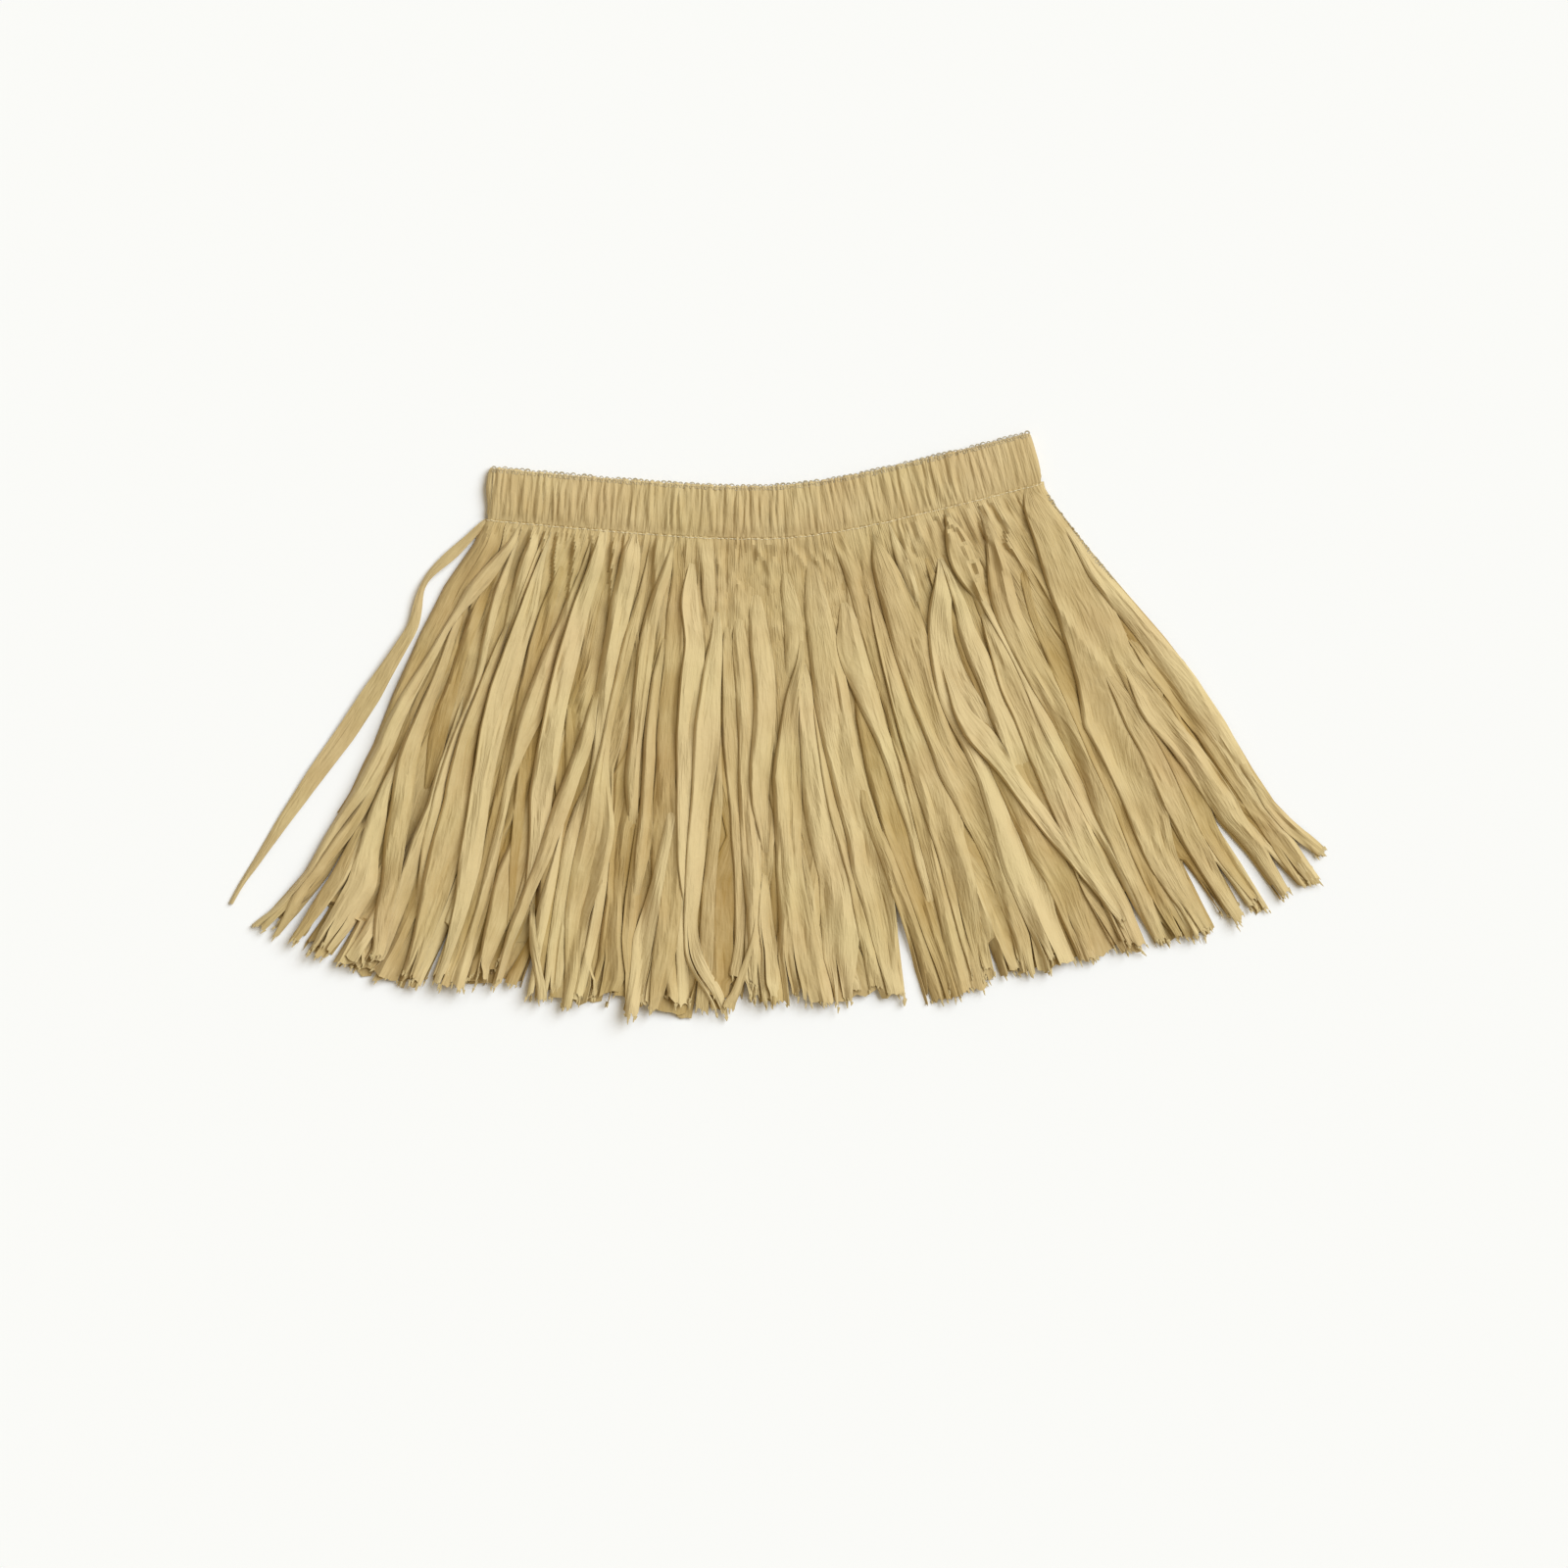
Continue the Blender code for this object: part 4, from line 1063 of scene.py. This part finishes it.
def plain_casing():
    """The casing without gathers. Each point notes how much room a gather has there, where it is round the ring and
    down the band, and how near it is to the band's edges."""
    inset = SIDE_ROUND / (WAIST_WIDTH / 2)
    reach = 1 - inset
    front_u = np.linspace(-reach, reach, FRONT_COLUMNS)
    turn = np.linspace(0, math.pi, SIDE_COLUMNS + 2)[1:-1]
    ring = [(u, 0.0) for u in front_u] + [(reach, a) for a in turn]
    ring += [(u, math.pi) for u in np.linspace(reach, -reach, BACK_COLUMNS)] + [(-reach, -math.pi + a) for a in turn]
    points, room, around, up, rim = [], [], [], [], []
    run = 0.0
    for n, (u, angle) in enumerate(ring):
        previous = ring[n - 1][0] if n else u
        run += abs(u - previous) * WAIST_WIDTH / 2 + (0.0009 if angle not in (0.0, math.pi) else 0)
        for k, (w, puff) in enumerate(BAND_ROWS):
            outside = k < OUTSIDE_ROWS
            x, y = lay(u, w)
            size = puff / 1000
            if outside and math.cos(angle) < 0:
                size = min(size, BACK_FLAT)
            x = x + math.sin(angle) * (size + 0.0005) * 0.97
            height = BAND_MIDDLE + math.cos(angle) * size
            points.append((float(x), float(y), float(height)))
            fade = 1 - 0.55 * float(ease((u - 0.62) / 0.3)) * (math.cos(angle) > 0)
            at_back = 0.7 if math.cos(angle) < -0.5 else 1.0
            room.append(fade * at_back * (1.0 if 2 < k < 11 else 0.35 if outside else 0.0))
            around.append(run)
            up.append(-w)
            rim.append(1 - float(ease(min(-w, BAND_DROP + w) / 0.011)))
    rows = len(BAND_ROWS)
    faces = []
    for n in range(len(ring)):
        m = (n + 1) % len(ring)
        for k in range(rows - 1):
            faces.append((n * rows + k, m * rows + k, m * rows + k + 1, n * rows + k + 1))
    mesh = bpy.data.meshes.new("casing")
    mesh.from_pydata(points, [], faces)
    tone = [0.55] * len(points)
    carry(mesh, list(zip(around, up)), room=room, around=around, up=up, rim=rim, tone=tone)
    mesh.materials.append(band_cloth)
    print("casing:", len(ring), "columns by", rows, "rows, ring of", round(run, 3), "m")
    return put("plain_casing", mesh)


casing = plain_casing()

# %% [markdown]
# ## Trees, and growing them
#
# A tree is a small program on geometry, with named inputs that can be changed later. Each of the trees below is built
# by a function. `grow` runs one on a base object and keeps the result as a plain mesh, because what is exported has to
# be real faces: that is why every tree ends by realizing its instances.

# %% Geometry Nodes helpers
def new_tree(name, inputs):
    """An empty tree with those inputs, and its input and output nodes."""
    tree = bpy.data.node_groups.new(name, "GeometryNodeTree")
    tree.interface.new_socket("Geometry", in_out="INPUT", socket_type="NodeSocketGeometry")
    for label, kind, value in inputs:
        socket = tree.interface.new_socket(label, in_out="INPUT", socket_type=kind)
        if value is not None:
            socket.default_value = value
    tree.interface.new_socket("Geometry", in_out="OUTPUT", socket_type="NodeSocketGeometry")
    return tree, tree.nodes.new("NodeGroupInput"), tree.nodes.new("NodeGroupOutput")


def finish_tree(tree, geometry, material_socket, end):
    """Makes the instances real, gives all of it the material, and closes the tree."""
    real = add(tree, "GeometryNodeRealizeInstances", {"Geometry": geometry})
    done = add(tree, "GeometryNodeSetMaterial", {"Geometry": real, "Material": material_socket})
    tree.links.new(done.outputs[0], end.inputs[0])


def grow(name, base, tree, values):
    """Runs the tree on base with its inputs set by identifier, and returns the result as a plain mesh object."""
    modifier = base.modifiers.new(tree.name, "NODES")
    modifier.node_group = tree
    for item in tree.interface.items_tree:
        if item.item_type == "SOCKET" and item.in_out == "INPUT" and item.name in values:
            modifier[item.identifier] = values[item.name]
    graph = bpy.context.evaluated_depsgraph_get()
    graph.update()
    mesh = bpy.data.meshes.new_from_object(base.evaluated_get(graph), preserve_all_data_layers=True, depsgraph=graph)
    base.modifiers.remove(modifier)
    plain = base.data
    bpy.data.objects.remove(base)
    bpy.data.meshes.remove(plain)
    mesh.name = name
    print(f"{name}: {len(mesh.polygons)} faces")
    return put(name, mesh)


print("add, new_tree, finish_tree and grow are all that the trees need")

# %% The tree that gathers the casing
def gathering_tree():
    """Pushes the casing out along its normals in uneven ridges, which fade out at its edges."""
    tree, start, end = new_tree("gathering", [
        ("Gathers per metre", "NodeSocketFloat", 155.0), ("Depth", "NodeSocketFloat", 0.0026),
        ("Wander", "NodeSocketFloat", 2.6), ("Seed", "NodeSocketFloat", 3.0),
        ("Material", "NodeSocketMaterial", None)])

    around, up, room, rim = (
        add(tree, "GeometryNodeInputNamedAttribute", {"Name": name}, data_type="FLOAT")
        for name in ("around", "up", "room", "rim"))

    def noise(across, along, offset):
        """Soft noise on the casing, at its own scale round the ring and down the band."""
        seed = add(tree, "ShaderNodeMath", {0: start.outputs["Seed"], 1: offset}, operation="ADD")
        place = add(tree, "ShaderNodeCombineXYZ", {0: around, 1: up, 2: seed})
        place = add(tree, "ShaderNodeVectorMath", {0: place, 1: (across, along, 1)}, operation="MULTIPLY")
        return add(tree, "ShaderNodeTexNoise", {"Vector": place, "Scale": 1.0, "Detail": 1.0})

    depth = add(tree, "ShaderNodeMapRange", {"Value": noise(120.0, 34.0, 9.0), 1: 0.35, 2: 0.65, 3: 0.2, 4: 1.2})
    made = {"around": around, "room": room, "rim": rim, "slow noise": noise(70.0, 24.0, 0.0), "depth": depth}
    # Each row is a Math node: its name, its operation and its inputs. A gather's ridge is |sin(pi x phase)|.
    for name, operation, *inputs in (
            ("off centre", "SUBTRACT", "slow noise", 0.5),
            ("wander", "MULTIPLY", "off centre", start.outputs["Wander"]),
            ("phase", "MULTIPLY_ADD", "around", start.outputs["Gathers per metre"], "wander"),
            ("turn", "MULTIPLY", "phase", math.pi),
            ("wave", "SINE", "turn"),
            ("ridge", "ABSOLUTE", "wave"),
            ("gather", "POWER", "ridge", 0.6),
            ("deep gather", "MULTIPLY", "gather", "depth"),
            ("loss at rim", "MULTIPLY", "rim", 0.6),
            ("left at rim", "SUBTRACT", 1.0, "loss at rim"),
            ("large", "MULTIPLY", "deep gather", "left at rim"),
            ("quick phase", "MULTIPLY", "phase", 1.7),
            ("quick turn", "MULTIPLY", "quick phase", math.pi),
            ("quick wave", "SINE", "quick turn"),
            ("quick ridge", "ABSOLUTE", "quick wave"),
            ("pucker", "POWER", "quick ridge", 0.8),
            ("gain at rim", "MULTIPLY", "rim", 0.4),
            ("small", "MULTIPLY", "pucker", "gain at rim"),
            ("both", "ADD", "large", "small"),
            ("full push", "MULTIPLY", "both", start.outputs["Depth"]),
            ("push", "MULTIPLY", "full push", "room")):
        inputs = {k: made[value] if isinstance(value, str) else value for k, value in enumerate(inputs)}
        made[name] = add(tree, "ShaderNodeMath", inputs, operation=operation)
    normal = add(tree, "GeometryNodeInputNormal")
    offset = add(tree, "ShaderNodeVectorMath", {0: normal, "Scale": made["push"]}, operation="SCALE")
    moved = add(tree, "GeometryNodeSetPosition", {"Geometry": start.outputs[0], "Offset": offset})
    smooth = add(tree, "GeometryNodeSetShadeSmooth", {"Geometry": moved})
    finish_tree(tree, smooth, start.outputs["Material"], end)
    return tree


band = grow("waistband", casing, gathering_tree(), {
    "Gathers per metre": 155.0, "Depth": 0.0026, "Wander": 2.6, "Seed": 3.0, "Material": band_cloth})
thicken(band)

# %% [markdown]
# ## Thread
#
# A row of stitches holds the casing down and runs through all its gathers. The casing's edges and the side seam at the
# right are neatened with overlock loops. Both repeat along a path that is drawn on the finished cloth: rays from
# above find the cloth's height under each point, so the thread follows every gather. A bump would draw the stitches
# as well, but thread stands proud of the cloth and casts small shadows, so it is real.

# %% Thread
def thread(name, code):
    """Spun polyester: smoother than the cloth, so a little less matt, and a little uneven in colour. Reads object
    coordinates."""
    material, tree, shader = new_material(name, roughness=0.55, sheen=0.1)
    place = add(tree, "ShaderNodeTexCoord").outputs["Object"]
    shade = add(tree, "ShaderNodeTexNoise", {"Vector": place, "Scale": 900.0, "Detail": 1.0}).outputs["Fac"]
    value = add(tree, "ShaderNodeMapRange", {"Value": shade, 1: 0.3, 2: 0.7, 3: 0.8, 4: 1.15})
    colour = add(tree, "ShaderNodeHueSaturation", {"Value": value, "Color": linear(code)}).outputs[0]
    tree.links.new(colour, shader.inputs["Base Color"])
    return material


seam_thread = thread("straw-coloured polyester thread", "E2D3AC")
edge_thread = thread("grey-beige overlock thread", "BCAF90")
print("threads:", seam_thread.name, "|", edge_thread.name)

# %% Paths on the cloth
graph = bpy.context.evaluated_depsgraph_get()
graph.update()
SURFACES = [BVHTree.FromObject(thing, graph) for thing in (band, *front_pieces)]


def cloth_top(x, y):
    """The height of the topmost cloth at that place."""
    found = [tree.ray_cast(Vector((x, y, 0.1)), Vector((0, 0, -1)))[0] for tree in SURFACES]
    return max([hit.z for hit in found if hit is not None], default=0.004)


def path(name, lines):
    """A mesh of edges only, one run of points for each line."""
    points, edges = [], []
    for line in lines:
        edges += [(len(points) + k, len(points) + k + 1) for k in range(len(line) - 1)]
        points += [tuple(map(float, p)) for p in line]
    mesh = bpy.data.meshes.new(name)
    mesh.from_pydata(points, edges, [])
    return put(name, mesh)


def on_cloth(u, w, lift):
    """A line at those cloth coordinates, lifted by a little above the topmost cloth."""
    x, y = lay(u, w)
    z = [cloth_top(float(a), float(b)) + lift for a, b in zip(x, y)]
    return np.stack([x, y, z], 1)


def edge_line(u, w, z):
    """A line at those cloth coordinates and the height z."""
    x, y = lay(u, w)
    return np.stack([x, y, np.broadcast_to(z, x.shape)], 1)


# Drops of the three lines across the band, in metres, and the side seam's place in u.
SEAM_LINE, FACE_LINE, TOP_EDGE = 0.0016, -0.0364, -0.0383
SIDE_SEAM = 0.993
across = np.linspace(-0.985, 0.985, 420)
seam_path = path("seam_path", [on_cloth(across, SEAM_LINE + 0.0003 * patches(across, 0, 0.02, 0.02, 81), 0.0001)])
edge_path = path("edge_path", [
    edge_line(across, TOP_EDGE, BAND_MIDDLE + 0.0010), edge_line(across, TOP_EDGE, BAND_MIDDLE - 0.0010)])
face_path = path("face_path", [on_cloth(across, FACE_LINE, 0.0001)])
side_drop = np.linspace(0.012, 0.090, 60)
side_path = path("side_path", [on_cloth(np.full(len(side_drop), SIDE_SEAM), side_drop, 0.0002)])
print("seam path from", [round(v, 3) for v in seam_path.data.vertices[0].co])

# %% The trees that sew
def sewing_tree(name, looped):
    """Puts a stitch, or a loop, at each step along a path, turned along it and a little uneven."""
    tree, start, end = new_tree(name, [
        ("Spacing", "NodeSocketFloat", 0.003), ("Length", "NodeSocketFloat", 0.0026),
        ("Thread radius", "NodeSocketFloat", 0.0002), ("Unevenness", "NodeSocketFloat", 0.3),
        ("Seed", "NodeSocketInt", 5), ("Material", "NodeSocketMaterial", None)])
    line = add(tree, "GeometryNodeMeshToCurve", {0: start.outputs[0]})
    steps = add(tree, "GeometryNodeResampleCurve", {"Curve": line, "Length": start.outputs["Spacing"]},
                mode="LENGTH")
    half = add(tree, "ShaderNodeMath", {0: start.outputs["Length"], 1: 0.5}, operation="MULTIPLY")
    if looped:
        shape = add(tree, "GeometryNodeCurvePrimitiveCircle", {"Resolution": 10, "Radius": half})
    else:
        back = add(tree, "ShaderNodeMath", {0: half, 1: -1.0}, operation="MULTIPLY")
        first = add(tree, "ShaderNodeCombineXYZ", {0: back, 2: -0.0003})
        last = add(tree, "ShaderNodeCombineXYZ", {0: half, 2: -0.0003})
        shape = add(tree, "GeometryNodeCurveQuadraticBezier", {
            "Resolution": 6, "Start": first, "Middle": (0, 0, 0.0007), "End": last})
    profile = add(tree, "GeometryNodeCurvePrimitiveCircle", {
        "Resolution": 6, "Radius": start.outputs["Thread radius"]})
    stitch = add(tree, "GeometryNodeCurveToMesh", {
        "Curve": shape, "Profile Curve": profile, "Fill Caps": True})
    tangent = add(tree, "GeometryNodeInputTangent")
    facing = add(tree, "FunctionNodeAlignRotationToVector", {"Vector": tangent}, axis="X")
    least = add(tree, "ShaderNodeMath", {0: 1.0, 1: start.outputs["Unevenness"]}, operation="SUBTRACT")
    most = add(tree, "ShaderNodeMath", {0: 1.0, 1: start.outputs["Unevenness"]}, operation="ADD")
    size = add(tree, "FunctionNodeRandomValue", {2: least, 3: most, "Seed": start.outputs["Seed"]},
               data_type="FLOAT").outputs[1]
    placed = add(tree, "GeometryNodeInstanceOnPoints", {
        "Points": steps, "Instance": stitch, "Rotation": facing, "Scale": size})
    swing = add(tree, "FunctionNodeRandomValue", {
        0: (-0.35 * looped, -0.2 * looped, -0.14), 1: (0.35 * looped, 0.2 * looped, 0.14),
        "Seed": start.outputs["Seed"]}, data_type="FLOAT_VECTOR")
    turned = add(tree, "GeometryNodeRotateInstances", {"Instances": placed, "Rotation": swing})
    smooth = add(tree, "GeometryNodeSetShadeSmooth", {"Geometry": turned})
    finish_tree(tree, smooth, start.outputs["Material"], end)
    return tree


stitches = sewing_tree("seam stitches", False)
loops = sewing_tree("overlock loops", True)
seam = grow("seam_stitches", seam_path, stitches, {
    "Spacing": 0.0034, "Length": 0.0028, "Thread radius": 0.00030, "Unevenness": 0.15, "Seed": 5,
    "Material": seam_thread})
edging = grow("top_overlock", edge_path, loops, {
    "Spacing": 0.0043, "Length": 0.0030, "Thread radius": 0.0003, "Unevenness": 0.4, "Seed": 8,
    "Material": edge_thread})
facing = grow("face_overlock", face_path, loops, {
    "Spacing": 0.0021, "Length": 0.0022, "Thread radius": 0.00017, "Unevenness": 0.3, "Seed": 10,
    "Material": edge_thread})
side_seam = grow("side_overlock", side_path, loops, {
    "Spacing": 0.0023, "Length": 0.0030, "Thread radius": 0.00028, "Unevenness": 0.3, "Seed": 9,
    "Material": edge_thread})

# %% [markdown]
# ## Frayed tips
#
# Non-woven cloth doesn't unravel, but it splits along its fibres. Slivers stand out of the strips' tips, in the
# direction of each strip give or take a few degrees. They could be strands of a hair system, but a few hundred short
# flat cones on points are lighter and are real faces. The strips noted where their tips are.

# %% The tree that frays
def fraying_tree():
    """Puts a flat sliver on each point, turned to the point's heading and a little astray."""
    tree, start, end = new_tree("fraying", [
        ("Length", "NodeSocketFloat", 0.007), ("Width", "NodeSocketFloat", 0.0009),
        ("Spread", "NodeSocketFloat", 0.3), ("Seed", "NodeSocketInt", 4), ("Material", "NodeSocketMaterial", None)])
    cone = add(tree, "GeometryNodeMeshCone", {
        "Vertices": 5, "Radius Top": 0.00025, "Radius Bottom": start.outputs["Width"],
        "Depth": start.outputs["Length"]}).outputs["Mesh"]
    sliver = add(tree, "GeometryNodeTransform", {
        "Geometry": cone, "Rotation": (0, math.pi / 2, 0), "Scale": (0.25, 1, 1)})
    heading = add(tree, "GeometryNodeInputNamedAttribute", {"Name": "heading"}, data_type="FLOAT")
    less = add(tree, "ShaderNodeMath", {0: start.outputs["Spread"], 1: -1.0}, operation="MULTIPLY")
    swing = add(tree, "FunctionNodeRandomValue", {
        2: less, 3: start.outputs["Spread"], "Seed": start.outputs["Seed"]}, data_type="FLOAT").outputs[1]
    turn = add(tree, "ShaderNodeMath", {0: heading, 1: swing}, operation="ADD")
    size = add(tree, "FunctionNodeRandomValue", {
        0: (0.5, 0.6, 0.6), 1: (1.4, 1.2, 1.0), "Seed": start.outputs["Seed"]}, data_type="FLOAT_VECTOR")
    facing = add(tree, "ShaderNodeCombineXYZ", {2: turn})
    facing = add(tree, "FunctionNodeEulerToRotation", {0: facing})
    placed = add(tree, "GeometryNodeInstanceOnPoints", {
        "Points": start.outputs[0], "Instance": sliver, "Rotation": facing, "Scale": size})
    finish_tree(tree, placed, start.outputs["Material"], end)
    return tree


def tips_of(cloths):
    """The frayed tips as points that carry their heading, just under the cloth's surface."""
    frays = [fray for cloth in cloths for fray in cloth.frays]
    mesh = bpy.data.meshes.new("tips")
    mesh.from_pydata([(float(p[0]), float(p[1]), float(max(p[2] - 0.0002, 0.0004))) for p, _ in frays], [], [])
    mesh.attributes.new("heading", "FLOAT", "POINT").data.foreach_set(
        "value", np.array([angle for _, angle in frays], dtype=np.float32))
    return put("tips", mesh)


split_fibre = thread("split straw fibre", "CBB581")
slivers = grow("split_fibres", tips_of(front.values()), fraying_tree(), {
    "Length": 0.0040, "Width": 0.0012, "Spread": 0.24, "Seed": 4, "Material": split_fibre})

# %% [markdown]
# ## Floor and light
#
# The skirt lies on white paper. A point light would draw hard shadows under every strip, and a bright room alone would
# draw none. So one very large soft light from the upper right gives each fold its dark left foot, and a warm bright
# room fills the rest.

# %% Floor and light
FLOOR_HALF = 4
FLOOR_DROP = 0.0003
floor_mesh = bpy.data.meshes.new("paper")
corners = [(x * FLOOR_HALF, y * FLOOR_HALF, 0) for x, y in ((-1, -1), (1, -1), (1, 1), (-1, 1))]
floor_mesh.from_pydata(corners, [], [(0, 1, 2, 3)])
floor = put("paper", floor_mesh)
floor.location = (0, 0, -FLOOR_DROP)
paper, paper_tree, paper_shader = new_material("matt white paper", roughness=0.9)
paper_shader.inputs["Base Color"].default_value = linear("FAFAF8")
floor_mesh.materials.append(paper)

sun = bpy.data.lights.new("key", "SUN")
sun.energy = 3.38
sun.color = (0.83, 0.90, 1.0)
sun.angle = math.radians(45)
key = put("key", sun)
key.location = (1.7, 1.1, 2.0)
key.rotation_euler = Vector(key.location).to_track_quat("Z", "Y").to_euler()
room = bpy.data.worlds.new("bright room")
room.use_nodes = True
room.node_tree.nodes["Background"].inputs[0].default_value = linear("FFEFD0")
room.node_tree.nodes["Background"].inputs[1].default_value = 0.38
bpy.context.scene.world = room
print("light from", tuple(round(v, 1) for v in key.location), "as wide as", round(math.degrees(sun.angle)), "degrees")

# %% [markdown]
# ## Who rides, and who replaces whom
#
# The skirt has no joints, so everything rides on its root. Each piece names the CAD solids that it stands in for, and
# those are hidden.

# %% Riding and replacing
for thing, nodes, slot_name in (
        (back_cloth, ("skirt_back", "fringe_back"), "skirt_cloth"),
        (front_pieces[0], ("skirt_front", "fringe_front"), "strip_cloth"),
        (front_pieces[1], ("skirt_front", "fringe_front"), "strip_cloth"),
        (front_pieces[2], ("skirt_front", "fringe_front"), "strip_cloth"),
        (slipped, ("loose_strip",), "strip_cloth"),
        (band, ("waistband_front", "waistband_back"), "band_cloth"),
        (seam, ("waistband_front",), "band_cloth"),
        (edging, ("waistband_front", "waistband_back"), "band_cloth"),
        (facing, ("waistband_front",), "band_cloth"),
        (side_seam, ("skirt_front",), "skirt_cloth"),
        (slivers, ("fringe_front",), "strip_cloth")):
    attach(thing, "root")
    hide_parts(*nodes)
